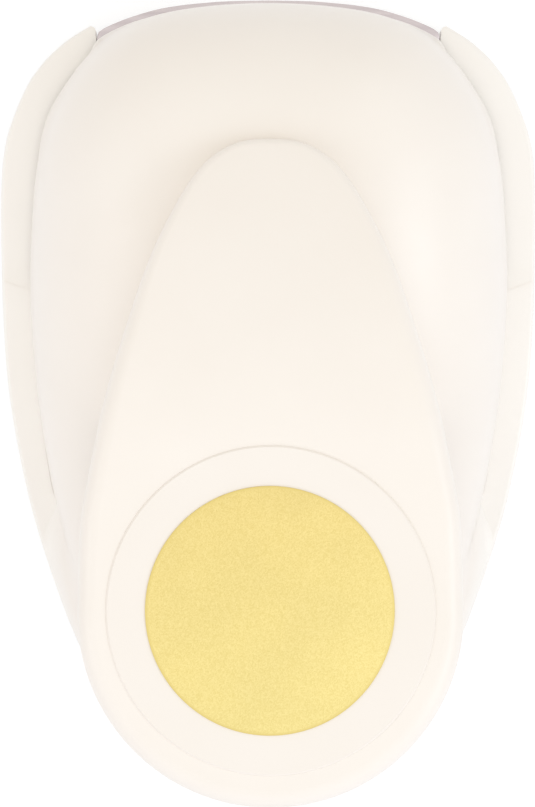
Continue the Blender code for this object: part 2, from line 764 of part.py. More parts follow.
def guide_block():
    """The casting that guides the cutter, strips the card off it and carries the pivot."""
    block = prism("guide_block", guide_outline(), GUIDE_BOTTOM, GUIDE_TOP)
    for side in (-1, 1):
        near = side * EAR_INSIDE
        far = side * (EAR_INSIDE + EAR_THICKNESS)
        join(block, side_plate("ear", ear_outline(), min(near, far), max(near, far)))
    bottom = -OVERRUN
    top = GUIDE_TOP + OVERRUN
    cut(block, rod("bore", PUNCH_RADIUS, bottom, GUIDE_TOP, BORE_SIDES, (0.0, DIE_CENTRE)))
    pivot = (0.0, PIVOT_Y, PIVOT_HEIGHT)
    cut(block, cross_rod("hole", PIVOT_RADIUS + PIVOT_PLAY, DIE_HALF, PIN_SIDES, pivot))
    for place in post_places():
        cut(block, rod("pocket", POCKET_RADIUS, POCKET_BOTTOM, top, PIN_SIDES, place))
        root = POCKET_BOTTOM - POST_ROOT - SEAT
        cut(block, rod("root", POST_RADIUS + PIVOT_PLAY, root, top, HOLE_SIDES, place))
    for place in die_screw_places():
        cut(block, rod("hole", M4_RADIUS + SCREW_PLAY, bottom, top, HOLE_SIDES, place))
        seat = GUIDE_TOP - M4_HEAD_HEIGHT
        cut(block, rod("well", M4_HEAD + SCREW_PLAY, seat, top, HOLE_SIDES, place))
    return finish(block, aluminium())


def ram(parent):
    """The cutter: a round die-sized slug with a shallow roof cut in its face, on a neck."""
    place = (0.0, DIE_CENTRE)
    cutter = rod("ram", RAM_RADIUS, RAM_BOTTOM, RAM_TOP, BORE_SIDES, place)
    join(cutter, rod("neck", NECK_RADIUS, RAM_TOP - SHEAR_EDGE, BRIDGE_BOTTOM - SEAT, PIN_SIDES, place))
    reach = RAM_RADIUS - SHEAR_EDGE
    roof = [
        (DIE_CENTRE - reach, RAM_BOTTOM - SHEAR_EDGE),
        (DIE_CENTRE + reach, RAM_BOTTOM - SHEAR_EDGE),
        (DIE_CENTRE, RAM_BOTTOM + SHEAR_RELIEF),
    ]
    cut(cutter, side_plate("roof", roof, -PUNCH_DIAMETER, PUNCH_DIAMETER))
    for hole in bridge_screw_places():
        cut(cutter, rod("hole", M3_RADIUS + SCREW_PLAY, RAM_TOP, BRIDGE_TOP, HOLE_SIDES, hole))
    return finish(cutter, steel(), parent)


def bridge_screw_seat():
    """The height of the shoulder that the bridge's screw heads press on, below the top of the pad."""
    return BRIDGE_PAD_TOP - M3_HEAD_HEIGHT - SEAT


def ram_bridge(parent):
    """The bar across the neck that the springs lift and the lever presses."""
    half = POST_X + BRIDGE_END
    outline = []
    for i in range(HOLE_SIDES // 2 + 1):
        turn = -math.pi / 2 + math.pi * i / (HOLE_SIDES // 2)
        middle = half - BRIDGE_DEPTH / 2
        x = middle + BRIDGE_DEPTH / 2 * math.cos(turn)
        outline.append(Vector((x, DIE_CENTRE + BRIDGE_DEPTH / 2 * math.sin(turn))))
    bar = prism("ram_bridge", closed_loop(outline), BRIDGE_BOTTOM, BRIDGE_TOP)
    pad_half = BRIDGE_DEPTH / 2 - EDGE_ROUND
    low = (-BRIDGE_PAD_HALF, DIE_CENTRE - pad_half, BRIDGE_BOTTOM + BRIDGE_THICKNESS / 2)
    join(bar, box("pad", low, (BRIDGE_PAD_HALF, DIE_CENTRE + pad_half, BRIDGE_PAD_TOP)))
    low = BRIDGE_BOTTOM - OVERRUN
    for place in post_places():
        cut(bar, rod("hole", POST_RADIUS + POST_PLAY, low, BRIDGE_TOP + OVERRUN, HOLE_SIDES, place))
    for place in bridge_screw_places():
        cut(bar, rod("hole", M3_RADIUS + SCREW_PLAY, low, BRIDGE_PAD_TOP, HOLE_SIDES, place))
        well = M3_HEAD + SCREW_PLAY
        cut(bar, rod("well", well, bridge_screw_seat(), BRIDGE_PAD_TOP + OVERRUN, HOLE_SIDES, place))
    return finish(bar, aluminium(), parent)


def screw(name, place, seat, radius, head_radius, head_height, length, facing=1):
    """A round-headed screw. Its head stands on seat, above it if facing is 1 and below it if -1."""
    profile = [
        (radius, -length),
        (radius, 0.0),
        (head_radius, 0.0),
        (head_radius * HEAD_CROWN_SHARE, head_height),
    ]
    obj = turned(name, profile, HOLE_SIDES, (*place, seat))
    if facing < 0:
        obj.rotation_euler = (math.pi, 0.0, 0.0)
    return obj


def fixed_screws():
    """Screws of the body: cover, housings and die stack."""
    low = FOOT_PROUD + COVER_THICKNESS / 2 - GLUE_LINE
    head = COVER_THICKNESS / 2 - GLUE_LINE
    for i, place in enumerate(cover_screw_places()):
        length = COVER_TOP + COVER_SCREW_GRIP - low
        name = f"cover_screw_{i + 1}"
        finish(screw(name, place, low, M3_RADIUS, M3_HEAD, head, length, -1), steel())
    for i, place in enumerate(housing_screw_places()):
        length = RIM + HOUSING_SCREW_GRIP - low
        name = f"housing_screw_{i + 1}"
        finish(screw(name, place, low, M3_RADIUS, M3_HEAD, head, length, -1), steel())
    seat = GUIDE_TOP - M4_HEAD_HEIGHT + GLUE_LINE
    for i, place in enumerate(die_screw_places()):
        length = seat - DIE_BOTTOM + DIE_SCREW_GRIP
        name = f"die_screw_{i + 1}"
        finish(screw(name, place, seat, M4_RADIUS, M4_HEAD, M4_HEAD_HEIGHT, length), steel())


def bridge_screws(parent):
    seat = bridge_screw_seat() + GLUE_LINE
    for i, place in enumerate(bridge_screw_places()):
        length = seat - RAM_TOP - SEAT
        piece = screw(f"ram_screw_{i + 1}", place, seat, M3_RADIUS, M3_HEAD, M3_HEAD_HEIGHT, length)
        finish(piece, steel(), parent)


def guide_posts():
    """The posts that the bridge slides on. Their heads stop it at the top."""
    head = BRIDGE_TOP + SEAT
    profile = [
        (POST_RADIUS, POCKET_BOTTOM - POST_ROOT),
        (POST_RADIUS, head),
        (POST_HEAD_RADIUS, head),
        (POST_HEAD_RADIUS, head + POST_HEAD),
    ]
    for name, place in zip(("guide_post_right", "guide_post_left"), post_places()):
        finish(turned(name, profile, HOLE_SIDES, (*place, 0.0)), steel())


def return_springs():
    """Two coil springs round the posts, between the block's pockets and the bridge."""
    bottom = POCKET_BOTTOM + SPRING_WIRE + GLUE_LINE
    top = BRIDGE_BOTTOM - SPRING_WIRE - GLUE_LINE
    count = int(SPRING_TURNS * SPRING_POINTS)
    for name, place in zip(("return_spring_right", "return_spring_left"), post_places()):
        curve = bpy.data.curves.new(name, "CURVE")
        curve.dimensions = "3D"
        curve.bevel_depth = SPRING_WIRE
        curve.bevel_resolution = 1
        curve.use_fill_caps = True
        line = curve.splines.new("POLY")
        line.points.add(count)
        for i in range(count + 1):
            turn = 2 * math.pi * i / SPRING_POINTS
            x = SPRING_RADIUS * math.cos(turn)
            y = SPRING_RADIUS * math.sin(turn)
            line.points[i].co = (x, y, (top - bottom) * i / count, 1.0)
        obj = bpy.data.objects.new(name, curve)
        bpy.context.scene.collection.objects.link(obj)
        obj.location = (*place, bottom)
        finish(obj, steel())


def print_spring_gap():
    pitch = (BRIDGE_BOTTOM - POCKET_BOTTOM - 2 * SPRING_WIRE - 2 * GLUE_LINE) / SPRING_TURNS
    print(f"least gap between spring turns: {(pitch - 2 * SPRING_WIRE) / MM:.2f} mm")


def pivot_pin():
    half = EAR_INSIDE + EAR_THICKNESS + SEAT + CLIP_THICKNESS + PIN_END
    pin = cross_rod("pivot_pin", PIVOT_RADIUS, half, PIN_SIDES, (0.0, PIVOT_Y, PIVOT_HEIGHT))
    return finish(pin, steel())


def pin_clips():
    """Open rings that keep the pivot pin in its ears."""
    for name, side in (("pin_clip_right", 1), ("pin_clip_left", -1)):
        near = side * (EAR_INSIDE + EAR_THICKNESS + SEAT)
        build = bmesh.new()
        rows = []
        for i in range(PIN_SIDES):
            sweep = 2 * math.pi - CLIP_MOUTH_ANGLE
            turn = (CLIP_MOUTH_ANGLE - math.pi) / 2 + sweep * i / (PIN_SIDES - 1)
            row = []
            for x, radius in clip_section(near, near + side * CLIP_THICKNESS):
                y = PIVOT_Y + radius * math.cos(turn)
                row.append(build.verts.new((x, y, PIVOT_HEIGHT + radius * math.sin(turn))))
            rows.append(row)
        for lower, upper in zip(rows, rows[1:]):
            bridge(build, lower, upper)
        build.faces.new(rows[0])
        build.faces.new(rows[-1])
        finish(add_mesh(name, build), steel())


def clip_section(near, far):
    """The corners of a clip's section, as (x, radius)."""
    inner = PIVOT_RADIUS + PIVOT_PLAY / 2
    return [(near, inner), (far, inner), (far, CLIP_RADIUS), (near, CLIP_RADIUS)]


def edge_round(y):
    """The rounding of the lever's upper edge, which is tight at the nose and full round the palm rest."""
    return LEVER_NOSE_ROUND + (LEVER_ROUND - LEVER_NOSE_ROUND) * smooth_step(y, LEVER_NOSE, PAD_FLAT)


def lever_rings(outline, drop, bottom):
    """Rings of the lever's skin: up the skirt, over the rounded edge and in to the middle line."""
    across = [(outline[(i + 1) % len(outline)] - outline[i - 1]).normalized() for i in range(len(outline))]

    def ring(inset, height):
        made = []
        for p, along in zip(outline, across):
            inner = p - inset(p.y) * Vector((along.y, -along.x))
            made.append((inner.x, inner.y, height(p.y)))
        return made

    rings = [ring(lambda y: LEVER_DRAFT, lambda y: bottom)]
    for i in range(ROUND_STEPS + 1):
        turn = math.pi / 2 * i / ROUND_STEPS
        rings.append(ring(
            lambda y, turn=turn: edge_round(y) * (1 - math.cos(turn)),
            lambda y, turn=turn: lever_top(y) - drop - edge_round(y) * (1 - math.sin(turn)),
        ))
    return rings + top_rings(rings[-1], drop)


def top_rings(edge, drop):
    """Rings that carry the top in from its edge towards a line along the middle."""
    rings = []
    for share in MIDDLE_SHARES:
        made = []
        for x, y, _ in edge:
            middle = min(PAD_CENTRE, max(LEVER_NOSE + PAD_RADIUS / 2, y))
            inner_y = y + (middle - y) * share
            made.append((x * (1 - share), inner_y, lever_top(inner_y) - drop))
        rings.append(made)
    return rings


def arm_line():
    """Two points of the arm's straight top, under the lever's skin."""
    start = LEVER_NOSE + LEVER_WALL + ARM_STEP_BACK
    end = PAD_FLAT - ARM_END_GAP
    under = LEVER_WALL + ARM_WEB_TOP_GAP
    return (start, lever_top(start) - under), (end, lever_top(end) - under)


def arm_tilt():
    (start, low), (end, high) = arm_line()
    return math.atan2(high - low, end - start)


def arm_screw_frames():
    """(y, z) on the arm's top for each screw."""
    (start, low), (end, high) = arm_line()
    frames = []
    for share in ARM_SCREW_SHARES:
        frames.append((start + (end - start) * share, low + (high - low) * share))
    return frames


def arc(centre, radius, sweep, steps):
    """Points of an arc in the (y, z) plane. Its two angles are in degrees from +Y towards +Z."""
    start, end = sweep
    points = []
    for i in range(steps + 1):
        turn = math.radians(start + (end - start) * i / steps)
        points.append((centre[0] + radius * math.cos(turn), centre[1] + radius * math.sin(turn)))
    return points


def arm_outline():
    """The arm seen from the side: round the pivot, under the press pin, to the tail and back on top."""
    (start, low), (end, high) = arm_line()
    waist = min(z for y, z in lever_underside() if y < LEVER_NOSE + LEVER_WALL * 2) - SEAT
    hook = arc((PIVOT_Y, PIVOT_HEIGHT), ARM_HOOK_RADIUS, HOOK_SWEEP_DEG, HOOK_STEPS)
    eye_radius = PRESS_PIN_RADIUS + PIVOT_PLAY + ARM_PIN_MARGIN
    eye = arc((DIE_CENTRE, PRESS_PIN_Z), eye_radius, EYE_SWEEP_DEG, EYE_STEPS)
    return hook + eye + [
        (end, high - ARM_TAIL_DEPTH),
        (end, high),
        (start, low),
        (start, waist),
        (LEVER_NOSE - ARM_NECK, waist - ARM_PLATE),
    ]


def lever_arm(parent):
    """A pressed steel channel: two side plates joined along their top."""
    outline = arm_outline()
    arm = side_plate("lever_arm", outline, -ARM_HALF_WIDTH, ARM_HALF_WIDTH)
    lowered = [(y, z - ARM_PLATE) for y, z in outline[-5:]]
    (end, high) = lowered[0][0] + OVERRUN, lowered[1][1]
    slope = math.tan(arm_tilt())
    core = [
        (PIVOT_Y - OVERRUN, -OVERRUN),
        (end, -OVERRUN),
        (end, high + slope * OVERRUN),
        lowered[2],
        lowered[3],
        (lowered[4][0], lowered[4][1]),
        (lowered[4][0], DOME_CREST),
        (PIVOT_Y - OVERRUN, DOME_CREST),
    ]
    inner = ARM_HALF_WIDTH - ARM_PLATE
    cut(arm, side_plate("core", core, -inner, inner))
    pivot = (0.0, PIVOT_Y, PIVOT_HEIGHT)
    eye = (0.0, DIE_CENTRE, PRESS_PIN_Z)
    cut(arm, cross_rod("hole", PIVOT_RADIUS + PIVOT_PLAY, DIE_HALF, PIN_SIDES, pivot))
    cut(arm, cross_rod("hole", PRESS_PIN_RADIUS + PIVOT_PLAY, DIE_HALF, PIN_SIDES, eye))
    for y, z in arm_screw_frames():
        hole = rod("hole", M3_RADIUS + SCREW_PLAY, -OVERRUN, OVERRUN, HOLE_SIDES)
        hole.location = (0.0, y, z)
        hole.rotation_euler = (arm_tilt(), 0.0, 0.0)
        cut(arm, hole)
    return finish(arm, steel(), parent)


def press_pin(parent):
    half = ARM_HALF_WIDTH + PRESS_PIN_END
    pin = cross_rod("press_pin", PRESS_PIN_RADIUS, half, PIN_SIDES, (0.0, DIE_CENTRE, PRESS_PIN_Z))
    return finish(pin, steel(), parent)


def arm_screws(parent):
    for i, (y, z) in enumerate(arm_screw_frames()):
        seat = ARM_PLATE + SEAT
        name = f"arm_screw_{i + 1}"
        piece = screw(name, (0.0, y), z, M3_RADIUS, M3_HEAD, M3_HEAD_HEIGHT, ARM_SCREW_GRIP)
        down = Vector((0.0, math.sin(arm_tilt()), -math.cos(arm_tilt())))
        piece.location = Vector((0.0, y, z)) + seat * down
        piece.rotation_euler = (arm_tilt() + math.pi, 0.0, 0.0)
        finish(piece, steel(), parent)


def lever_shell(parent):
    """The handle: a hollow shell, level under the palm, with a seat for the label disc."""
    outline = lever_outline()
    shell = loft("lever_shell", lever_rings(outline, 0.0, SKIRT_LOWEST - EDGE_ROUND))
    inside = grown(outline, -LEVER_WALL)
    cut(shell, loft("inside", lever_rings(inside, LEVER_WALL, SKIRT_LOWEST - OVERRUN)))
    underside = lever_underside()
    lowest = [(underside[-1][0], -OVERRUN), (underside[0][0], -OVERRUN)]
    cut(shell, side_plate("underside", underside + lowest, -BODY_HALF, BODY_HALF))
    rib_top = PAD_TOP - LEVER_WALL / 2
    rib_low = PAD_TOP - LEVER_WALL - RIB_DEPTH
    reach = (PAD_RADIUS - LEVER_WALL) * RIB_REACH_SHARE
    half = RIB_WIDTH / 2
    join(shell, box("rib", (-half, PAD_CENTRE - reach, rib_low), (half, PAD_CENTRE + reach, rib_top)))
    join(shell, box("rib", (-reach, PAD_CENTRE - half, rib_low), (reach, PAD_CENTRE + half, rib_top)))
    for y, z in arm_screw_frames():
        boss = rod("boss", ARM_BOSS_RADIUS, SEAT, ARM_WEB_TOP_GAP + LEVER_WALL, HOLE_SIDES)
        boss.location = (0.0, y, z)
        boss.rotation_euler = (arm_tilt(), 0.0, 0.0)
        join(shell, boss)
        hole = rod("hole", M3_RADIUS + SCREW_PLAY, -OVERRUN, ARM_SCREW_GRIP - ARM_PLATE, HOLE_SIDES)
        hole.location = (0.0, y, z)
        hole.rotation_euler = (arm_tilt(), 0.0, 0.0)
        cut(shell, hole)
    floor = PAD_TOP + DISC_PROUD - DISC_THICKNESS - GLUE_LINE
    place = (0.0, LABEL_CENTRE)
    cut(shell, rod("seat", DISC_RADIUS + DISC_GAP, floor, PAD_TOP + OVERRUN, BORE_SIDES, place))
    return finish(shell, cream(), parent)


def label_disc(parent):
    top = PAD_TOP + DISC_PROUD
    profile = [
        (DISC_RADIUS, top - DISC_THICKNESS),
        (DISC_RADIUS, top - DISC_EDGE),
        (DISC_RADIUS - DISC_EDGE, top),
    ]
    return finish(turned("label_disc", profile, BORE_SIDES, (0.0, LABEL_CENTRE, 0.0)), cream(), parent)


def shape_label(parent):
    """The foil that shows the size of the cut at full scale."""
    gold = material("gold_foil", (0.86, 0.72, 0.30), 0.45, 0.6)
    bottom = PAD_TOP + DISC_PROUD + GLUE_LINE
    place = (0.0, LABEL_CENTRE)
    label = rod("shape_label", PUNCH_RADIUS, bottom, bottom + LABEL_THICKNESS, BORE_SIDES, place)
    return finish(label, gold, parent)


def main():
    clear_scene()
    lever_axis = axis_empty("lever_axis", (0.0, PIVOT_Y, PIVOT_HEIGHT))
    ram_axis = axis_empty("ram_axis", (0.0, DIE_CENTRE, RAM_BOTTOM))
    lower_housing()
    bottom_cover()
    feet()
    upper_housing()
    die_plate()
    gap_shim()
    guide_block()
    guide_posts()
    return_springs()
    print_spring_gap()
    pivot_pin()
    pin_clips()
    fixed_screws()
    ram(ram_axis)
    ram_bridge(ram_axis)
    bridge_screws(ram_axis)
    lever_shell(lever_axis)
    lever_arm(lever_axis)
    press_pin(lever_axis)
    arm_screws(lever_axis)
    label_disc(lever_axis)
    shape_label(lever_axis)


main()
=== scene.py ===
# %% [markdown]
# # A circle punch, piece by piece
# A desk punch bites round discs out of card. The card goes into the slot at the front, the palm presses the long
# handle, and a steel cutter inside drives down through a die plate. Each piece modelled here is laid over its solid
# and rides on the same body, so it moves as the joints say. The box round the bare frame is kept.

# %% The frame
import json
import math
import bpy
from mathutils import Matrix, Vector
from mathutils.geometry import intersect_point_line


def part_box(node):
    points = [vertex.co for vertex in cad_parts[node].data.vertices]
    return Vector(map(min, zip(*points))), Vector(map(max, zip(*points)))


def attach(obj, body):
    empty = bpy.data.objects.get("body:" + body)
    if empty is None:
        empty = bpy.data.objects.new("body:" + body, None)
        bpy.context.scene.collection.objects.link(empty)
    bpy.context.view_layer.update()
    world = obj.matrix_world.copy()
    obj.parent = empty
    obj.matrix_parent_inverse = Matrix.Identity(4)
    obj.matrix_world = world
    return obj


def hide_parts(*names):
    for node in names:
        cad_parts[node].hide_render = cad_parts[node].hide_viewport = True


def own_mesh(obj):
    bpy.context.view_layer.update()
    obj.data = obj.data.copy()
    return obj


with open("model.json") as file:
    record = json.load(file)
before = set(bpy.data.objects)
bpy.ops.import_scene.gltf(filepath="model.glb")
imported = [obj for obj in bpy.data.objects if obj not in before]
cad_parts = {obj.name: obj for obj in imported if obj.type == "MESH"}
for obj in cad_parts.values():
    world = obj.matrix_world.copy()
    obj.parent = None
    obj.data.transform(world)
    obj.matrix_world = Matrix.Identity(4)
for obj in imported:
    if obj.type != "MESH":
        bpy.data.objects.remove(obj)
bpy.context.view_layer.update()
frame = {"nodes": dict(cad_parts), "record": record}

MM = 0.001
HAIR = 0.01 * MM

# %% [markdown]
# ## Camera, floor and lamps
# The photograph looks straight down from about a metre, with the slot at the top of the picture, so the camera
# hangs over the punch with its top towards -Y. It stands a few millimetres to one side, because the high palm rest
# leans a little the other way in the picture. The floor is pale, and the camera sees part of its white as light of its
# own: it then stays white under plain lamps, and still takes the shadow of the punch. The light is a soft sky, warm
# overhead and cooler and brighter low down behind the tail, with a broad lamp on each side, the stronger one on the
# right of the picture, and a third above. Their levels are low enough that the pale plastic keeps its colour.
# The sky turns with one product: SKY_TURN times the direction is -0.7 overhead and 0.8 level behind the tail.

# %% Camera over the punch
CAMERA_HEIGHT = 1100 * MM
CAMERA_ASIDE = 7.5 * MM
AIM = Vector((0.2 * MM, 2.43 * MM, 12 * MM))
LENS = 225.45
lean = math.atan2(CAMERA_ASIDE, CAMERA_HEIGHT - AIM.z)
bpy.ops.object.camera_add(location=(AIM.x + CAMERA_ASIDE, AIM.y, CAMERA_HEIGHT), rotation=(0, -lean, math.pi))
camera = bpy.context.active_object
camera.name = "camera"
camera.data.lens = LENS
camera.data.clip_end = 100
bpy.context.scene.camera = camera
bpy.context.scene.view_settings.view_transform = "Standard"
print("camera lens:", LENS, "lean in degrees:", round(math.degrees(lean), 2))

# %% Helpers for node trees
def feed(tree, node, sockets):
    """Sets the named or numbered sockets of a node, and links those whose value is another node's socket."""
    for name, value in sockets.items():
        if isinstance(value, bpy.types.NodeSocket):
            tree.links.new(value, node.inputs[name])
        else:
            node.inputs[name].default_value = value


def add_node(tree, kind, sockets=None):
    """A new node of a kind, with its sockets fed."""
    made = tree.nodes.new(kind)
    feed(tree, made, sockets or {})
    return made


def between(tree, share, low, high):
    """A number that is low where share is 0 and high where it is 1."""
    return add_node(tree, "ShaderNodeMapRange", {"Value": share, "To Min": low, "To Max": high}).outputs["Result"]


def share_of(tree, value, start, end):
    """How far a value has gone from start to end, from 0 to 1."""
    return add_node(tree, "ShaderNodeMapRange", {"Value": value, "From Min": start, "From Max": end}).outputs["Result"]


def mixed(tree, share, first, second, kind="MIX"):
    """A colour that is first where share is 0 and second where it is 1. Each is a value or a socket."""
    blend = add_node(tree, "ShaderNodeMix")
    blend.data_type = "RGBA"
    blend.blend_type = kind
    # The names of a Mix node's sockets repeat, so they go by number: 0 is the share, 6 and 7 are the colours.
    feed(tree, blend, {0: share, 6: first, 7: second})
    return blend.outputs[2]


def seen_by_lens(tree):
    """A socket that is 1 for the rays which carry the background: camera, glossy and transmission."""
    path = add_node(tree, "ShaderNodeLightPath")
    value = path.outputs["Is Camera Ray"]
    for name in ("Is Glossy Ray", "Is Transmission Ray"):
        most = add_node(tree, "ShaderNodeMath", {0: value, 1: path.outputs[name]})
        most.operation = "MAXIMUM"
        value = most.outputs[0]
    return value


print("node helpers ready")

# %% Floor and sky
SKY_OVERHEAD = (0.820, 0.798, 0.750, 1)
SKY_LOW = (1.215, 1.255, 1.355, 1)
SKY_TURN = (0, 0.8, -0.7)
WHITE = (1, 1, 1, 1)
FLOOR_SIZE = 60
FLOOR_OWN_LIGHT = 0.70
FLOOR_SEEN = (0.36, 0.36, 0.36, 1)
FLOOR_BOUNCE = (0.750, 0.765, 0.820, 1)

world = bpy.data.worlds.new("studio")
world.use_nodes = True
bpy.context.scene.world = world
tree = world.node_tree
direction = add_node(tree, "ShaderNodeTexCoord").outputs["Generated"]
lowness = add_node(tree, "ShaderNodeVectorMath", {0: direction, 1: SKY_TURN})
lowness.operation = "DOT_PRODUCT"
sky = mixed(tree, share_of(tree, lowness.outputs["Value"], SKY_TURN[2], SKY_TURN[1]), SKY_OVERHEAD, SKY_LOW)
feed(tree, tree.nodes["Background"], {"Color": mixed(tree, seen_by_lens(tree), sky, WHITE)})

bpy.ops.object.select_all(action="DESELECT")
bpy.ops.mesh.primitive_plane_add(size=FLOOR_SIZE)
floor = bpy.context.active_object
floor.name = "floor"
paper = bpy.data.materials.new("floor_paper")
paper.use_nodes = True
tree = paper.node_tree
seen = seen_by_lens(tree)
feed(tree, tree.nodes["Principled BSDF"], {
    "Base Color": mixed(tree, seen, FLOOR_BOUNCE, FLOOR_SEEN), "Roughness": 0.9,
    "Emission Color": WHITE, "Emission Strength": between(tree, seen, 0, FLOOR_OWN_LIGHT),
})
floor.data.materials.append(paper)
print("floor:", floor.dimensions.x, "m wide, sky overhead", SKY_OVERHEAD[:3], "and low", SKY_LOW[:3])

# %% Lamps
def lamp(name, spot, power, size, tint):
    """A broad square lamp that looks at the punch."""
    bpy.ops.object.light_add(type="AREA", location=spot)
    made = bpy.context.active_object
    made.name = name
    made.rotation_euler = (AIM - Vector(spot)).to_track_quat("-Z", "Y").to_euler()
    made.data.energy = power
    made.data.size = size
    made.data.color = tint
    made.visible_camera = False


lamp("key_lamp", spot=(-1.05, 0.15, 1.0), power=3.02, size=0.7, tint=(0.88, 1.0, 1.15))
lamp("fill_lamp", spot=(1.15, 0.15, 0.9), power=1.55, size=0.7, tint=(0.95, 1.0, 1.08))
lamp("top_lamp", spot=(0.0, -0.1, 1.9), power=1.9, size=1.4, tint=(1.0, 0.99, 0.96))

# %% [markdown]
# ## Shared outlines
# From above, the punch is three outlines, the table, the foot of the dome and the handle, and a shallow bow along
# the front of the die plate. Each is drawn as a few points, given as shares of its width and length, with a smooth
# curve through them. Half an outline is drawn, from the nose along one side to the tail, and mirrored, because the
# punch is the same on both sides.

# %% Curves
def along(points, pieces=8):
    """A smooth open curve that runs through the points."""
    ends = [2 * points[0] - points[1]] + points + [2 * points[-1] - points[-2]]
    curve = []
    for before, start, end, after in zip(ends, ends[1:], ends[2:], ends[3:]):
        for i in range(pieces):
            t = i / pieces
            bend = 2 * before - 5 * start + 4 * end - after
            twist = 3 * start - before - 3 * end + after
            curve.append(start + ((end - before) * t + bend * t * t + twist * t * t * t) / 2)
    return curve + [points[-1]]


def evenly(curve, count):
    """The same curve with count + 1 points, evenly spaced."""
    reach = [0.0]
    for a, b in zip(curve, curve[1:]):
        reach.append(reach[-1] + (b - a).length)
    even, k = [], 0
    for i in range(count + 1):
        want = reach[-1] * i / count
        while k < len(curve) - 2 and reach[k + 1] < want:
            k += 1
        even.append(curve[k].lerp(curve[k + 1], min(1.0, (want - reach[k]) / (reach[k + 1] - reach[k]))))
    return even


def from_shares(shares, half_width, start, length):
    """Points from shares of a half width and of a length."""
    return [Vector((x * half_width, start + y * length)) for x, y in shares]


def both_sides(half):
    """A half outline and its mirror image, as one closed loop."""
    return half + [Vector((-p.x, p.y)) for p in reversed(half) if abs(p.x) > 1e-9]


def grown(loop, distance):
    """The loop moved outwards by a distance, or inwards by a negative one. The distance may depend on y."""
    moved = []
    for i, p in enumerate(loop):
        line = loop[(i + 1) % len(loop)] - loop[i - 1]
        step = distance(p.y) if callable(distance) else distance
        moved.append(p + step * Vector((line.y, -line.x)).normalized())
    return moved


def drawn_in(loop, distance):
    """The loop moved inwards, without the points that a tight corner would throw across it."""
    kept = []
    for p in grown(loop, -distance):
        near = []
        for a, b in zip(loop, loop[1:] + loop[:1]):
            share = intersect_point_line(p, a, b)[1]
            near.append((p - a.lerp(b, min(1.0, max(0.0, share)))).length)
        if min(near) > distance - HAIR:
            kept.append(p)
    return kept


def eased(value, start, end):
    """A share that goes softly from 0 at start to 1 at end."""
    t = min(1.0, max(0.0, (value - start) / (end - start)))
    return t * t * (3 - 2 * t)


def quarter(steps):
    """Sine and cosine of even turns through a quarter circle."""
    return [(math.sin(turn), math.cos(turn)) for turn in (math.pi / 2 * i / steps for i in range(steps + 1))]


# %% Main sizes
LENGTH = 168.7 * MM
BODY_LENGTH = 162.8 * MM
BODY_HALF = 57.6 * MM
FRONT = -LENGTH / 2
REAR = LENGTH / 2
PUNCH_RADIUS = 25.4 * MM
DIE_CENTRE = FRONT + 9 * MM + PUNCH_RADIUS
PAPER_STOP = DIE_CENTRE + PUNCH_RADIUS + 2.6 * MM
SEAT = 0.3 * MM
WALL = 2.4 * MM
TABLE_TOP = 12 * MM
RIM = 12.8 * MM
SLOT_TOP = 13.1 * MM
OVERRUN = 6 * MM
low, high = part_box("lower_housing")
print("table in mm:", [round(c / MM, 1) for c in (*low, *high)], "paper stop at", round(PAPER_STOP / MM, 2))

# %% Outlines of table, dome foot and handle
TABLE_SIDE = (
    (0.663, 0.0329), (0.689, 0.0384), (0.734, 0.0482), (0.771, 0.058), (0.802, 0.0679), (0.832, 0.0783),
    (0.868, 0.0943), (0.899, 0.1109), (0.939, 0.1416), (0.974, 0.1766), (0.990, 0.2061), (0.997, 0.2368),
    (1.0, 0.288), (0.993, 0.398), (0.974, 0.503), (0.927, 0.607), (0.851, 0.714), (0.714, 0.847),
    (0.590, 0.914), (0.417, 0.963), (0.210, 0.991), (0.0, 1.0),
)
DIE_FRONT = (
    (0.0, 0.0), (0.150, 0.0010), (0.238, 0.0032), (0.328, 0.0065), (0.418, 0.0120), (0.507, 0.0212),
    (0.552, 0.0270), (0.587, 0.0322), (0.609, 0.0358), (0.628, 0.0398), (0.6375, 0.0435), (0.6406, 0.0480),
)
DOME_FOOT = (
    (0.0, 0.0073), (0.149, 0.0098), (0.285, 0.0135), (0.35, 0.0163), (0.418, 0.0203), (0.509, 0.0293),
    (0.576, 0.0393), (0.616, 0.0469), (0.631, 0.0503), (0.646, 0.0555), (0.662, 0.0662), (0.679, 0.0777),
    (0.705, 0.0875), (0.740, 0.1023), (0.783, 0.1247), (0.818, 0.1471), (0.842, 0.1723), (0.8565, 0.1999),
    (0.867, 0.2374), (0.8765, 0.2835), (0.880, 0.3277), (0.8805, 0.3768), (0.8785, 0.4168), (0.8705, 0.4647),
    (0.860, 0.5120), (0.840, 0.5654), (0.818, 0.6146), (0.793, 0.6594), (0.708, 0.766), (0.573, 0.870),
    (0.380, 0.945), (0.180, 0.980), (0.0, 0.9895),
)
HANDLE_SIDE = (
    (0.0, 0.0), (0.06, 0.0004), (0.106, 0.0018), (0.151, 0.0040), (0.196, 0.0083), (0.233, 0.0136), (0.278, 0.0219),
    (0.320, 0.0310), (0.352, 0.0400), (0.380, 0.0495), (0.408, 0.0598), (0.474, 0.090), (0.583, 0.1505),
    (0.668, 0.211), (0.737, 0.2715), (0.803, 0.332), (0.861, 0.3925), (0.897, 0.438), (0.959, 0.528), (0.987, 0.587),
)
PAD_RADIUS = 39.1 * MM
PAD_CENTRE = REAR - PAD_RADIUS
HANDLE_NOSE = FRONT + 32.3 * MM
HANDLE_LENGTH = REAR - HANDLE_NOSE
TRAY_SETBACK = 1.3 * MM
TRAY_HALF = 24 * MM


def die_front(setback=0.0, count=36):
    """Half of the long shallow bow along the front of the die plate."""
    bow = evenly(along(from_shares(DIE_FRONT, BODY_HALF, FRONT, BODY_LENGTH)), count)
    return [Vector((p.x, p.y + setback)) for p in bow]


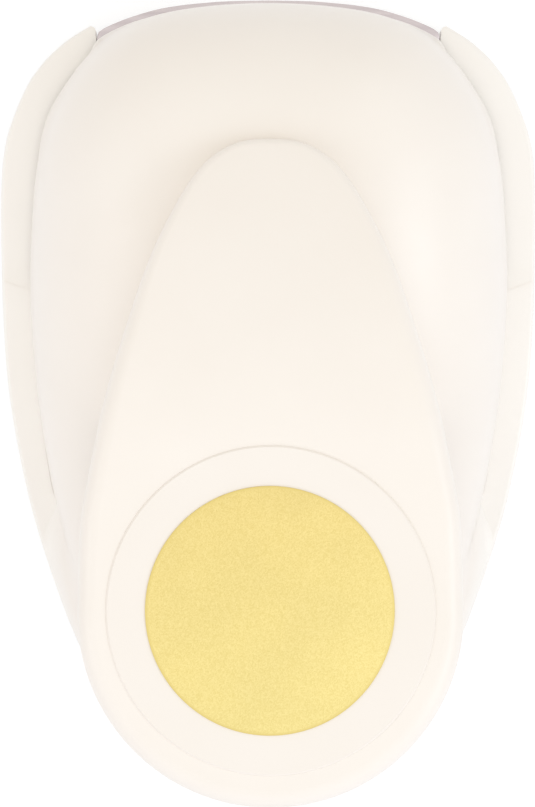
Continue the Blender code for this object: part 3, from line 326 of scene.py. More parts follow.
def with_stops(half, stops):
    """The half outline with a point added at each y in stops, so that a step there is crisp."""
    for stop in stops:
        for i, (a, b) in enumerate(zip(half, half[1:])):
            if a.y < stop < b.y:
                half.insert(i + 1, a.lerp(b, (stop - a.y) / (b.y - a.y)))
                break
    return half


def table_half(count=110):
    """Half of the table: the tray's front, set back behind the die, and then the prong and the side."""
    side = evenly(along(from_shares(TABLE_SIDE, BODY_HALF, FRONT, BODY_LENGTH)), count)
    front = [p for p in die_front(TRAY_SETBACK) if p.x < TRAY_HALF]
    return front + [side[0] - Vector((1.0 * MM, 0.05 * MM))] + side


def dome_half(count=120):
    """Half of the outline on which the dome stands."""
    return evenly(along(from_shares(DOME_FOOT, BODY_HALF, FRONT, BODY_LENGTH)), count)


def handle_half(count=100):
    """Half of the handle: a drawn side from the nose to the widest point, and a quarter circle round the palm."""
    steps = count * 2 // 3
    points = from_shares(HANDLE_SIDE, PAD_RADIUS, HANDLE_NOSE, HANDLE_LENGTH)
    front = evenly(along(points + [Vector((PAD_RADIUS, PAD_CENTRE))]), steps)
    rear = [Vector((PAD_RADIUS * cos, PAD_CENTRE + PAD_RADIUS * sin)) for sin, cos in quarter(count - steps)[1:]]
    rear[-1].x = 0.0
    return front + rear


print("outlines:", len(table_half()), len(dome_half()), len(handle_half()), "points on each half")

# %% [markdown]
# ## The tools of the bench
# All pieces come from the same few moves. A skin starts as a grid primitive whose rows are laid on rings and whose
# seams are merged: it gives the smooth shells, which no extrusion could follow. A prism is a filled circle
# primitive laid on an outline and extruded. Cutting and joining are Boolean modifiers, applied at once, as a mould
# maker thinks of cores and inserts. Every piece ends with its place in its mesh and its object at the origin.

# %% Selecting and settling
def only(piece):
    """Selects one object alone and makes it the active one."""
    bpy.ops.object.select_all(action="DESELECT")
    piece.select_set(True)
    bpy.context.view_layer.objects.active = piece


def open_all(piece):
    """Takes one object into edit mode with all of it selected."""
    only(piece)
    bpy.ops.object.mode_set(mode="EDIT")
    bpy.ops.mesh.select_all(action="SELECT")


def primitive(name, operator, **sizes):
    """A new primitive with a name, and its place moved into its mesh."""
    bpy.ops.object.select_all(action="DESELECT")
    operator(**sizes)
    piece = bpy.context.active_object
    piece.name = piece.data.name = name
    bpy.ops.object.transform_apply(location=True, rotation=True, scale=True)
    return piece


def sewn(piece, gap=2e-6):
    """Merges doubles, closing the seams and poles, and turns the faces outwards."""
    open_all(piece)
    bpy.ops.mesh.remove_doubles(threshold=gap)
    bpy.ops.mesh.normals_make_consistent(inside=False)
    bpy.ops.object.mode_set(mode="OBJECT")
    return piece


def pick(piece, kind, test):
    """Selects the faces or edges whose corners all pass the test, and leaves the piece in edit mode."""
    only(piece)
    bpy.ops.object.mode_set(mode="EDIT")
    bpy.ops.mesh.select_mode(type=kind)
    bpy.ops.mesh.select_all(action="DESELECT")
    bpy.ops.object.mode_set(mode="OBJECT")
    mesh = piece.data
    passed = [test(v.co) for v in mesh.vertices]
    for part in (mesh.edges if kind == "EDGE" else mesh.polygons):
        part.select = all(passed[i] for i in part.vertices)
    bpy.ops.object.mode_set(mode="EDIT")


def rounded(piece, width, test, segments=3):
    """Rounds the edges whose two ends pass the test."""
    pick(piece, "EDGE", test)
    bpy.ops.mesh.bevel(offset=width, segments=segments, affect="EDGES", clamp_overlap=True)
    bpy.ops.object.mode_set(mode="OBJECT")
    return piece


# %% Skins, prisms, cuts
def skin(name, rings):
    """A grid primitive laid on the rings, a row to a ring. A ring that lies on one line or point closes there."""
    columns = len(rings[0])
    piece = primitive(
        name, bpy.ops.mesh.primitive_grid_add, x_subdivisions=columns, y_subdivisions=len(rings) - 1, size=1
    )
    piece.data.vertices.foreach_set("co", [c for ring in rings for p in [*ring, ring[0]] for c in p])
    return sewn(piece)


def level(loop, height):
    """A plan loop as a ring at one height, or at a height that depends on y."""
    return [(p.x, p.y, height(p.y) if callable(height) else height) for p in loop]


def spine(loop, height):
    """The ring that closes a skin: each point of the loop drawn straight in to the middle line."""
    return [(0.0, p.y, height(p.y) if callable(height) else height) for p in loop]


def prism(name, corners, travel):
    """A flat outline of 3-D corners, extruded along travel."""
    piece = primitive(name, bpy.ops.mesh.primitive_circle_add, vertices=len(corners), radius=1, fill_type="NGON")
    piece.data.vertices.foreach_set("co", [c for p in corners for c in p])
    open_all(piece)
    bpy.ops.mesh.extrude_region_move(TRANSFORM_OT_translate={"value": travel})
    bpy.ops.object.mode_set(mode="OBJECT")
    return sewn(piece)


def rod(radius, bottom, top, place=(0.0, 0.0), sides=64):
    """An upright cylinder between two heights."""
    middle = (*place, (bottom + top) / 2)
    return primitive(
        "rod", bpy.ops.mesh.primitive_cylinder_add, vertices=sides, radius=radius, depth=top - bottom, location=middle
    )


def block(low, high):
    """A box between its lowest and highest corners."""
    corners = [(low[0], low[1]), (high[0], low[1]), (high[0], high[1]), (low[0], high[1])]
    return prism("block", [(x, y, low[2]) for x, y in corners], (0, 0, high[2] - low[2]))


def joined_tools(tools):
    """Separate cutting tools as one object, so that one Boolean uses them all."""
    only(tools[0])
    for tool in tools:
        tool.select_set(True)
    bpy.ops.object.join()
    return tools[0]


def combine(piece, tool, operation="DIFFERENCE"):
    """Applies a Boolean of the tool on the piece and removes the tool."""
    only(piece)
    change = piece.modifiers.new("combine", "BOOLEAN")
    change.operation = operation
    change.solver = "EXACT"
    change.object = tool
    bpy.ops.object.modifier_apply(modifier=change.name)
    bpy.data.objects.remove(tool, do_unlink=True)
    return piece


def rods(radius, bottom, top, places, sides=24):
    """Equal upright rods at several places, as one cutting tool."""
    return joined_tools([rod(radius, bottom, top, place, sides) for place in places])


def done(piece, look, body, node, angle=30):
    """The last touches: smooth shading up to an angle, the finish, the body that it rides on and its node."""
    only(piece)
    bpy.ops.object.shade_smooth_by_angle(angle=math.radians(angle))
    piece.data.materials.clear()
    piece.data.materials.append(look)
    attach(piece, body)
    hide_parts(node)
    piece.data.calc_loop_triangles()
    size = [round(c / MM, 1) for c in piece.dimensions]
    print(f"{piece.name}: {size} mm, {len(piece.data.loop_triangles)} triangles")


print("bench ready")

# %% [markdown]
# ## Finishes
# The body is a warm cream plastic with a very fine spark-eroded grain, a little uneven in tone as mouldings are. The
# plate in the palm rest is the deepest cream. The table carries painted light: its cream is paler and cooler, and
# stands in for light from low angles that reaches the flange beside the dome. The dome's foot turns to the same paler
# cream, a painted glow of light through its thin wall. The foil disc is matte gold with a fine glitter and a slightly
# deeper rim, and a painted shade makes it a little browner in front, where the lamps' light falls off across it. The
# die plate is ground steel, a cool mauve grey with fine lines across, and the hidden parts are zinc-plated steel and
# cast aluminium. All patterns are read in object coordinates, so they stay fixed to the piece when it moves.

# %% Helpers for patterns
def blank(name, roughness, metal=0.0):
    """A new material and its Principled shader."""
    made = bpy.data.materials.new(name)
    made.use_nodes = True
    shader = made.node_tree.nodes["Principled BSDF"]
    feed(made.node_tree, shader, {"Roughness": roughness, "Metallic": metal})
    return made, shader


def surface_point(tree, scale=(1, 1, 1), shift=(0, 0, 0)):
    """The point of the piece in object coordinates, scaled and then shifted."""
    point = add_node(tree, "ShaderNodeTexCoord").outputs["Object"]
    return add_node(tree, "ShaderNodeMapping", {"Vector": point, "Scale": scale, "Location": shift}).outputs["Vector"]


def coordinate(tree, axis):
    """One coordinate of the point of the piece."""
    return add_node(tree, "ShaderNodeSeparateXYZ", {"Vector": surface_point(tree)}).outputs[axis]


def noise(tree, scale, detail=3.0, stretch=(1, 1, 1)):
    """A noise pattern fixed to the piece, finer as the scale grows."""
    point = surface_point(tree, stretch)
    return add_node(tree, "ShaderNodeTexNoise", {"Vector": point, "Scale": scale, "Detail": detail}).outputs["Fac"]


def tones(tree, share, dark, light, start=0.3, end=0.7):
    """A colour that goes from dark to light as share goes from start to end."""
    ramp = add_node(tree, "ShaderNodeValToRGB", {"Fac": share})
    for stop, at, colour in zip(ramp.color_ramp.elements, (start, end), (dark, light)):
        stop.position = at
        stop.color = (*colour, 1)
    return ramp.outputs["Color"]


def relief(tree, height, depth, strength=1.0):
    """A bump of the given depth in metres, on the shader's normal."""
    bump = add_node(tree, "ShaderNodeBump", {"Height": height, "Distance": depth, "Strength": strength})
    feed(tree, tree.nodes["Principled BSDF"], {"Normal": bump.outputs["Normal"]})


print("pattern helpers ready")

# %% Cream plastic
def cream_finish(name, dark, light, coat=0.5, painted_glow_heights=None):
    """Moulded cream plastic. Given two heights, it turns down between them to the paler cream of painted light, a
    painted glow of light through a thin foot.
    """
    made, shader = blank(name, 0.4)
    tree = made.node_tree
    tint = tones(tree, noise(tree, 45, 5.0), dark, light)
    # Painted light: towards the foot the colour turns to the paler cream, as a painted glow.
    if painted_glow_heights:
        thickness = share_of(tree, coordinate(tree, "Z"), *painted_glow_heights)
        tint = mixed(tree, thickness, tones(tree, noise(tree, 45, 5.0), *PAINTED_LIGHT_CREAM), tint)
    rough = between(tree, noise(tree, 260, 4.0), 0.34, 0.52)
    feed(tree, shader, {
        "Base Color": tint, "Roughness": rough, "IOR": 1.5, "Coat Weight": coat, "Coat Roughness": 0.3,
    })
    relief(tree, noise(tree, 2600, 2.0), 0.012 * MM)
    return made


CREAM = ((0.910, 0.845, 0.772), (0.925, 0.862, 0.792))
# PAINTED_LIGHT_CREAM is painted light: a paler, cooler cream for the table. It stands in for the light from low angles
# and from the white surroundings that reaches the flange beside the dome.
PAINTED_LIGHT_CREAM = ((0.942, 0.902, 0.850), (0.955, 0.917, 0.868))
DISC = ((0.896, 0.831, 0.758), (0.910, 0.847, 0.778))
cream = cream_finish("cream_moulding", *CREAM, coat=0.32)
painted_light_cream = cream_finish("pale_cream_moulding", *PAINTED_LIGHT_CREAM, coat=0.42)
# The dome's foot is painted with light: below 16 mm it turns to the table's paler cream, a painted glow of light
# through the thin wall.
dome_cream = cream_finish("dome_cream_moulding", *CREAM, painted_glow_heights=(RIM, 16 * MM))
disc_cream = cream_finish("disc_cream_moulding", *DISC, coat=0.32)
print("creams:", [m.name for m in (cream, painted_light_cream, dome_cream, disc_cream)])

# %% Gold foil
FOIL_ASIDE = 0.19 * MM
FOIL_RADIUS = PUNCH_RADIUS - 0.2 * MM
LABEL_CENTRE = 44.25 * MM
GOLD = ((0.83, 0.672, 0.233), (0.935, 0.785, 0.325))
GOLD_RIM = (0.78, 0.62, 0.21, 1)


def foil_finish():
    """Matte gold film: fine flakes under a soft cloud, deeper at the rim, with a painted shade that makes it a little
    browner in front.
    """
    made, shader = blank("matte_gold", 0.5, 0.35)
    tree = made.node_tree
    flakes = add_node(tree, "ShaderNodeTexVoronoi", {"Vector": surface_point(tree), "Scale": 4600})
    glitter = tones(tree, flakes.outputs["Color"], *GOLD, 0.1, 0.9)
    cloud = tones(tree, noise(tree, 60, 3.0), (0.95, 0.95, 0.95), (1, 1, 1))
    # Painted shade: the foil is browned and darkened towards the front of the disc, for the lamps' light falling off
    # across it.
    rearward = share_of(tree, coordinate(tree, "Y"), LABEL_CENTRE - FOIL_RADIUS, LABEL_CENTRE + FOIL_RADIUS)
    painted_front_shade = tones(tree, rearward, (0.965, 0.93, 0.90), (1, 1, 1), 0.0, 1.0)
    film = mixed(tree, 1.0, mixed(tree, 1.0, glitter, cloud, "MULTIPLY"), painted_front_shade, "MULTIPLY")
    centred = surface_point(tree, (1, 1, 0), (-FOIL_ASIDE, -LABEL_CENTRE, 0))
    reach = add_node(tree, "ShaderNodeVectorMath", {0: centred})
    reach.operation = "LENGTH"
    rim = share_of(tree, reach.outputs["Value"], FOIL_RADIUS - 0.7 * MM, FOIL_RADIUS - 0.15 * MM)
    feed(tree, shader, {"Base Color": mixed(tree, rim, film, GOLD_RIM)})
    relief(tree, flakes.outputs["Distance"], 0.02 * MM, 0.5)
    return made


gold = foil_finish()
print("foil centred at y =", round(LABEL_CENTRE / MM, 2), "mm")

# %% Metals and rubber
def metal_finish(name, light, dark, roughness, metal, scale, stretch, depth):
    """A metal whose tone and surface follow one noise, stretched where a tool ran along it."""
    made, shader = blank(name, roughness, metal)
    tree = made.node_tree
    grain = noise(tree, scale, 6.0, stretch)
    rough = between(tree, noise(tree, 400, 3.0), roughness - 0.08, roughness + 0.08)
    feed(tree, shader, {"Base Color": tones(tree, grain, dark, light), "Roughness": rough})
    relief(tree, grain, depth)
    return made


ground_steel = metal_finish(
    "ground_steel", (0.69, 0.617, 0.61), (0.58, 0.512, 0.512), roughness=0.38, metal=0.85,
    scale=900, stretch=(0.08, 1, 1), depth=0.006 * MM,
)
zinc = metal_finish("zinc_plated_steel", (0.72, 0.73, 0.75), (0.58, 0.59, 0.61), 0.32, 1.0, 500, (1, 1, 1), 0.004 * MM)
aluminium = metal_finish("cast_metal", (0.66, 0.66, 0.67), (0.50, 0.50, 0.51), 0.5, 1.0, 350, (1, 1, 1), 0.03 * MM)
spring_steel = metal_finish(
    "spring_steel", (0.60, 0.60, 0.62), (0.44, 0.44, 0.46), 0.28, 1.0, 700, (1, 1, 0.2), 0.003 * MM
)
rubber = metal_finish("black_rubber", (0.055, 0.055, 0.057), (0.03, 0.03, 0.032), 0.75, 0.0, 900, (1, 1, 1), 0.02 * MM)
print("metals:", [m.name for m in (ground_steel, zinc, aluminium, spring_steel)])

# %% [markdown]
# ## The dome
# The dome is the big moulding over the mechanism, with a hole that the handle sinks into. In plan it follows the
# foot outline, in height it rises like a cushion: steep sides and a broad top that falls away behind. No stock
# primitive bends both ways like that, so the rings of a skin follow a rule: on the line from the crown to a point
# of the foot, the height is a superellipse of the way in. The skin runs up the outside, turns over a small lip into
# the hole, and comes back as the inner wall, so that the moulding is a real hollow shell with a wall of about 2.4 mm.

# %% How high the dome is
CROWN = Vector((0, FRONT + 46.8 * MM))
CREST = 57.59 * MM
TAIL_DROP = 26 * MM
FALL_START = FRONT + 0.287 * BODY_LENGTH
FALL_END = FRONT + 0.877 * BODY_LENGTH
FRONT_POWER, POWER_GAIN = 2.7, 0.8
FOOT_LOOP = both_sides(dome_half())


def sunk(y):
    """How far the dome has sunk towards its low tail, from 0 to 1."""
    return eased(y, FALL_START, FALL_END)


def power_at(y):
    """The power of the superellipse: the sides stand a little steeper behind."""
    return FRONT_POWER + POWER_GAIN * sunk(y)


def outward(loop, p):
    """The point of a loop straight out from the crown through p."""
    ray = (p - CROWN).normalized()
    for a, b in zip(loop, loop[1:] + loop[:1]):
        left, right = ray.cross(a - CROWN), ray.cross(b - CROWN)
        if left * right <= 0 and left != right:
            hit = a.lerp(b, left / (left - right))
            if ray.dot(hit - CROWN) > 0:
                return hit
    return p


def dome_height(flat, loop=FOOT_LOOP, base=RIM, crest=CREST):
    """The height of the dome over a plan point, by the superellipse from the foot to the crown."""
    foot = outward(loop, flat)
    power = power_at(foot.y)
    spread = min(1.0, (flat - CROWN).length / (foot - CROWN).length)
    lift = (1 - spread ** power) ** (1 / power)
    return base + (crest - base - TAIL_DROP * sunk(flat.y)) * lift


print("dome at the crown:", round(dome_height(CROWN + Vector((0, MM))) / MM, 2), "mm")

# %% The hole for the handle
HANDLE_GAP = 0.04 * MM
HOLE_END = HANDLE_NOSE + 0.486 * HANDLE_LENGTH
HOLE_CORNER = 2.0 * MM
HOLE_WIDER = 0.3 * MM


def hole_half():
    """Half of the hole: along the handle with a small gap, round a corner and straight across the deck."""
    side = [p for p in grown(both_sides(handle_half()), HANDLE_GAP) if p.x >= -1e-9 and p.y < HOLE_END - HOLE_CORNER]
    side = [p for p in side if p.y < 0 or p.x > PAD_RADIUS / 2]
    side[0].x = 0.0
    corner = side[-1]
    middle = Vector((corner.x + HOLE_WIDER - HOLE_CORNER, HOLE_END - HOLE_CORNER))
    bend = [middle + HOLE_CORNER * Vector((cos, sin)) for sin, cos in quarter(6)]
    return side + bend + [Vector((0.0, HOLE_END))]


HOLE_LOOP = both_sides(hole_half())
print("hole:", len(HOLE_LOOP), "points, ends at y =", round(HOLE_END / MM, 2), "mm")

# %% [markdown]
# The foot of the dome is not a plain edge. In front it turns out in a small fillet over the slot, behind the slot it
# closes on the table, and along the tail it spreads in a soft flare to the table's edge. These are not cut or
# bevelled: each is a small rule that moves the lowest rings of the skin, so the surface stays one smooth sheet.

# %% Columns of the dome
FLARE_START = FRONT + 0.6616 * BODY_LENGTH


def dome_columns():
    """Points of the foot outline in order round the crown, with extra ones at the hole's corners and the flare."""
    half = with_stops(dome_half(), [FLARE_START - 0.05 * MM, FLARE_START + 0.05 * MM, PAPER_STOP])
    for p in hole_half():
        if p.y > HOLE_END - HOLE_CORNER * 1.01 and p.x > MM:
            half.append(outward(FOOT_LOOP, p))
    half.sort(key=lambda p: math.atan2(p.x, CROWN.y - p.y))
    return both_sides(half)


columns = dome_columns()
print("dome:", len(columns), "columns round the crown")

# %% Rules for the foot
CLOSING_SIDE, CLOSING_TAIL = 0.15 * MM, 0.38 * MM
FLARE_LOW, FLARE_HIGH = 0.12 * MM, 10.4 * MM
FILLET_HEIGHT, FILLET_DEPTH = 1.1 * MM, 0.4 * MM


def foot_height(p, rise=0.0):
    """The height of a point of the wall. The foot leaves a fine seam over the table, and closes on it behind."""
    closing = CLOSING_SIDE * eased(p.y, PAPER_STOP, PAPER_STOP + 4 * MM)
    if p.y > FLARE_START:
        closing = CLOSING_TAIL - 0.1 * MM * eased(p.y, FLARE_START, 45 * MM)
    return RIM + rise - closing * (1 - eased(rise, 0, 2 * MM))


def flare(p, rise):
    """The share of the way to the table's edge that the foot is spread at a height above its bottom."""
    if p.y < FLARE_START:
        return 0.0
    lip = 0.03 * MM + 0.9 * MM * eased(p.y, FLARE_START, 50 * MM)
    # Overlapping eases let its height climb evenly over 20 mm, with soft ends.
    steps = [eased(p.y, FLARE_START + k * MM, FLARE_START + (k + 8) * MM) for k in (-1, 3, 7, 11)]
    reach = FLARE_LOW + FLARE_HIGH * (sum(steps) / 4)
    return max(0.0, 1 - max(0.0, rise - lip) / reach) ** 2 * eased(p.y, FLARE_START, FLARE_START + 3 * MM)


def fillet(p, rise):
    """How far the wall stands behind its foot in front, where it turns out in a small fillet over the slot."""
    over_slot = max(0.0, rise - (SLOT_TOP - RIM))
    turned = 1 - max(0.0, 1 - over_slot / FILLET_HEIGHT) ** 2
    return FILLET_DEPTH * turned * (1 - eased(p.y, PAPER_STOP - 15 * MM, PAPER_STOP))


def softened(loop, rounds=40):
    """An evenly spaced loop with its kinks ironed out, measured from the crown."""
    reach = [(p - CROWN).length for p in loop]
    for _ in range(rounds):
        reach = [(reach[i - 1] + 2 * r + reach[(i + 1) % len(reach)]) / 4 for i, r in enumerate(reach)]
    return [CROWN + (p - CROWN).normalized() * r for p, r in zip(loop, reach)]


SOFT_LOOP = softened(FOOT_LOOP)
print("foot softened by up to", round(max((p - q).length for p, q in zip(FOOT_LOOP, SOFT_LOOP)) / MM, 2), "mm")

# %% The outside of the dome
FOOT_HEIGHTS = [
    h * MM for h in (0, 0.05, 0.12, 0.22, 0.36, 0.54, 0.76, 1.0, 1.3, 1.7, 2.2, 2.8, 3.6, 4.6, 5.7, 6.9, 8.3, 9.8, 11.5)
]
TABLE_LOOP = both_sides(table_half())
UPPER_RINGS = 30
LIP_ROOM = 0.012
FLARE_INSET = 0.8 * MM


def dome_outside(p, hole):
    """The points of one column up the outside, from the foot to the edge of the hole."""
    soft = outward(SOFT_LOOP, p)
    power = power_at(p.y)
    body = CREST - RIM - TAIL_DROP * sunk(p.y)
    end = (hole - CROWN).length / (p - CROWN).length + LIP_ROOM
    lifts = [h / body for h in FOOT_HEIGHTS]
    first = math.asin(min(1.0, lifts[-1] ** (power / 2)))
    last = math.acos(min(1.0, end ** (power / 2)))
    for i in range(1, UPPER_RINGS + 1):
        lifts.append(math.sin(first + (last - first) * i / UPPER_RINGS) ** (2 / power))
    to_edge = outward(TABLE_LOOP, p) - p
    spread = to_edge * (1 - FLARE_INSET / to_edge.length * (1 - eased(p.y, FLARE_START, 55 * MM)))
    column = []
    for lift in lifts:
        foot = p.lerp(soft, eased(body * lift, MM, 9 * MM))
        flat = CROWN.lerp(foot, max(0.0, 1 - lift ** power) ** (1 / power))
        rise = (CREST - RIM - TAIL_DROP * sunk(flat.y)) * lift
        flat = flat + spread * flare(p, rise) + (CROWN - flat).normalized() * fillet(p, rise) * (1 - lift)
        column.append((flat.x, flat.y, foot_height(p, rise)))
    return column


edge = [outward(HOLE_LOOP, p) for p in columns]
outside = [dome_outside(p, q) for p, q in zip(columns, edge)]
dome_rings = [list(ring) for ring in zip(*outside)]
print("dome:", len(dome_rings), "rings outside")

# %% Lip and inner wall
LIP = 0.14 * MM
INNER_RINGS = 18
INNER_LOOP = grown(FOOT_LOOP, -WALL)
lip_heights = [dome_height(p) for p in grown(edge, LIP)]
for sin, cos in quarter(4):
    inset = grown(edge, LIP * (1 - sin))
    dome_rings.append([(p.x, p.y, z - LIP * (1 - cos)) for p, z in zip(inset, lip_heights)])
for i in range(INNER_RINGS + 1):
    turn = math.pi / 2 * (1 - i / INNER_RINGS)
    ring = []
    for p, q in zip(columns, edge):
        foot = outward(INNER_LOOP, p)
        power = power_at(foot.y)
        start = (q - CROWN).length / (foot - CROWN).length
        most = math.acos(start ** (power / 2))
        lift = math.sin(most * turn / (math.pi / 2)) ** (2 / power)
        flat = CROWN.lerp(foot, (1 - lift ** power) ** (1 / power))
        inner_crest = CREST - WALL - TAIL_DROP * sunk(flat.y)
        ring.append((flat.x, flat.y, max(foot_height(p), RIM - SEAT + (inner_crest - RIM + SEAT) * lift)))
    dome_rings.append(ring)
dome = skin("dome", dome_rings + dome_rings[:1])
print("dome skin:", len(dome.data.polygons), "faces")

# %% Slot and screw bosses of the dome
BOSS_RADIUS = 3.65 * MM
SCREW_HOLE = 1.75 * MM
HOUSING_HOLE_TOP = RIM + 8.3 * MM


def paired_places(shares):
    """Places on both sides, from shares of the half width and the length."""
    return [(s * BODY_HALF * x, FRONT + BODY_LENGTH * y) for x, y in shares for s in (1, -1)]


HOUSING_SCREWS = paired_places(((0.745, 0.52), (0.46, 0.82)))
wide = BODY_HALF + OVERRUN
for x, y in HOUSING_SCREWS:
    top = min(dome_height(Vector((x, y)) * share) for share in (1.0, 1.07)) - WALL * 0.7
    combine(dome, rod(BOSS_RADIUS, RIM, top, (x, y), 32), "UNION")
combine(dome, rods(SCREW_HOLE, RIM - OVERRUN, HOUSING_HOLE_TOP, HOUSING_SCREWS))
combine(dome, block((-wide, FRONT - OVERRUN, 0), (wide, PAPER_STOP, SLOT_TOP)))
done(dome, dome_cream, "body", "upper_housing")

# %% [markdown]
# ## The table
# The lower moulding carries everything: a table as wide as the punch, with two blunt prongs at the front that
# guide the card, and between them a tray for the die plate. It is a skin on the table outline with rounded edges,
# and the hollow, the tray, the pocket and the chute for the cut discs are then taken out as a mould's cores would.
# On each side a shallow groove follows the foot of the dome, and a finer one runs out from the end of the slot.

# %% Table body
EDGE = 0.8 * MM
SLOPE = 6 * MM
REAR_STEP = 0.5 * MM
FOOT_PROUD = 1.2 * MM
COVER_TOP = 3.2 * MM
DIE_HALF = PUNCH_RADIUS + 11.2 * MM
DIE_EDGE = DIE_HALF + 0.3 * MM
DIE_REAR = PAPER_STOP + 14 * MM
DIE_BOTTOM = 6 * MM


def table_top(y):
    """The table is half a millimetre higher behind the slot, after a short slope."""
    return TABLE_TOP + REAR_STEP * eased(y, PAPER_STOP - SLOPE, PAPER_STOP)


slope_stops = [PAPER_STOP - SLOPE * i / 6 for i in range(7)]
table_loop = both_sides(with_stops(table_half(), slope_stops))
rings = [spine(grown(table_loop, -EDGE), FOOT_PROUD)]
for sin, cos in quarter(4):
    rings.append(level(grown(table_loop, -EDGE * (1 - sin)), FOOT_PROUD + EDGE * (1 - cos)))
for sin, cos in quarter(4):
    rings.append(level(grown(table_loop, -EDGE * (1 - cos)), lambda y: table_top(y) - EDGE * (1 - sin)))
rings.append(spine(grown(table_loop, -EDGE), table_top))
table = skin("table", rings)
print("table skin:", len(table.data.polygons), "faces")

# %% Cores of the table
TRAY_WALL = 3.0 * MM
COVER_SCREWS = paired_places(((0.80, 0.34), (0.11, 0.953)))
core = prism("core", level(drawn_in(table_loop, WALL), -OVERRUN), (0, 0, TABLE_TOP - WALL + OVERRUN))
low = (-DIE_HALF - TRAY_WALL, FRONT - 1.5 * OVERRUN, COVER_TOP + SEAT)
combine(core, block(low, (DIE_HALF + TRAY_WALL, DIE_REAR + TRAY_WALL, TABLE_TOP)))
combine(table, core)
for place in COVER_SCREWS + HOUSING_SCREWS:
    combine(table, rod(BOSS_RADIUS, COVER_TOP + SEAT, TABLE_TOP - WALL / 2, place, 32), "UNION")
low = (-DIE_EDGE - SEAT / 2, FRONT - OVERRUN, DIE_BOTTOM - SEAT)
combine(table, block(low, (DIE_EDGE + SEAT / 2, DIE_REAR + SEAT, TABLE_TOP + MM)))
print("table after its cores:", len(table.data.polygons), "faces")

# %% Fine groove round the dome's foot, and a slanting one where the slot ends
FOOT_GROOVE, FOOT_GROOVE_DEPTH = Vector((0.3 * MM, 0)), 0.15 * MM
SLANT_GROOVE, SLANT_GROOVE_DEPTH = Vector((0, 0.11 * MM)), 0.09 * MM
foot_side = [p for p in dome_half() if PAPER_STOP < p.y < FLARE_START]
slant = [Vector((51.3 * MM, PAPER_STOP)), Vector((58.5 * MM, PAPER_STOP - 2.6 * MM))]


def strip(line, half):
    """A narrow closed loop along a line, as wide as half on either side."""
    return [p - half for p in line] + [p + half for p in reversed(line)]


for side in (1, -1):
    for loop, depth in (
        (strip(foot_side, FOOT_GROOVE), FOOT_GROOVE_DEPTH), (strip(slant, SLANT_GROOVE), SLANT_GROOVE_DEPTH),
    ):
        line = [(side * p.x, p.y, table_top(p.y) - depth) for p in loop]
        combine(table, prism("groove", line, (0, 0, 1.2 * MM)))
print("table with its grooves:", len(table.data.polygons), "faces")

# %% Front of the tray, with the rounded tips of the prongs
PRONG_INNER = 37.2 * MM
TIP_ROUND = 0.9 * MM
tip = Vector((PRONG_INNER + TIP_ROUND, FRONT + 5.6 * MM + TIP_ROUND))
outer = tip.x + 3 * MM
front = [p for p in die_front(TRAY_SETBACK) if p.x < DIE_HALF - 0.2 * MM]
front.append(Vector((PRONG_INNER, front[-1].y + 0.4 * MM)))
front += [tip - TIP_ROUND * Vector((cos, sin)) for sin, cos in quarter(5)]
front += [Vector((outer, FRONT + 3 * MM)), Vector((outer, FRONT - 5 * MM)), Vector((0.0, FRONT - 5 * MM))]
combine(table, prism("tray_front", level(both_sides(front), -OVERRUN), (0, 0, 5 * OVERRUN)))

# %% Chute and screw holes
DIE_SCREW_HOLE = 2.25 * MM
COVER_HOLE_TOP = 9.5 * MM
THROUGH = TABLE_TOP + OVERRUN
combine(table, rod(PUNCH_RADIUS + 1.5 * MM, -OVERRUN, 15 * MM, (0, DIE_CENTRE), 128))
DIE_SCREWS = [(DIE_HALF * share, (PAPER_STOP + DIE_REAR) / 2) for share in (-0.74, 0.0, 0.74)]
holes = [rod(SCREW_HOLE, -OVERRUN, COVER_HOLE_TOP, place, 24) for place in COVER_SCREWS]
holes += [rod(SCREW_HOLE, -OVERRUN, THROUGH, place, 24) for place in HOUSING_SCREWS]
holes += [rod(DIE_SCREW_HOLE, -OVERRUN, 15 * MM, place, 24) for place in DIE_SCREWS]
combine(table, joined_tools(holes))
# The table's finish carries painted light, a paler and cooler cream standing in for the light on its flange.
done(table, painted_light_cream, "body", "lower_housing")

# %% [markdown]
# ## The handle
# The handle is a hollow moulding with a blunt nose and a round palm rest. Its side walls lean in a little
# downwards, so that they stay clear of the dome's hole as it sinks, its upper edge is tight at the nose and full
# round the palm, and its top climbs to a level rest with a round seat for the label disc. One skin does all of it,
# from the middle of the seat over the top, down the wall and back up inside. The lower edge is then cut to its side
# view, and two bosses take the screws of the arm underneath.

# %% Top and edge of the handle
DISC_RADIUS = 33.4 * MM
CLIMB_END = LABEL_CENTRE - DISC_RADIUS
CLIMB_POWER = 1.6
NOSE_TOP = CREST + 4.9 * MM
PAD_TOP = NOSE_TOP + 17.5 * MM
SKIRT_LOW = 37 * MM
WALL_LEAN = 0.8 * MM
NOSE_ROUND, PALM_ROUND = 1.4 * MM, 3.6 * MM
HANDLE_LOOP = both_sides(handle_half())


def handle_top(y):
    """The top climbs from the nose and is level under the palm."""
    left = max(0.0, (CLIMB_END - y) / (CLIMB_END - HANDLE_NOSE))
    return PAD_TOP - (PAD_TOP - NOSE_TOP) * left ** CLIMB_POWER


def edge_round(y):
    """The radius of the upper edge, which grows from the nose to the palm."""
    return NOSE_ROUND + (PALM_ROUND - NOSE_ROUND) * eased(y, HANDLE_NOSE, CLIMB_END)


def shell_rings(loop, drop, low):
    """Rings of the handle's skin from its lower edge, up the wall and over the rounded edge."""
    made = []
    for t in (0, 0.25, 0.5, 0.75):
        inset = grown(loop, -WALL_LEAN * (1 - t))
        made.append([(p.x, p.y, low + (handle_top(p.y) - drop - edge_round(p.y) - low) * t) for p in inset])
    for sin, cos in quarter(8):
        inset = grown(loop, lambda y: -edge_round(y) * (1 - cos))
        made.append([(p.x, p.y, handle_top(p.y) - drop - edge_round(p.y) * (1 - sin)) for p in inset])
    return made


print("handle top in mm:", round(NOSE_TOP / MM, 2), "to", round(PAD_TOP / MM, 2))

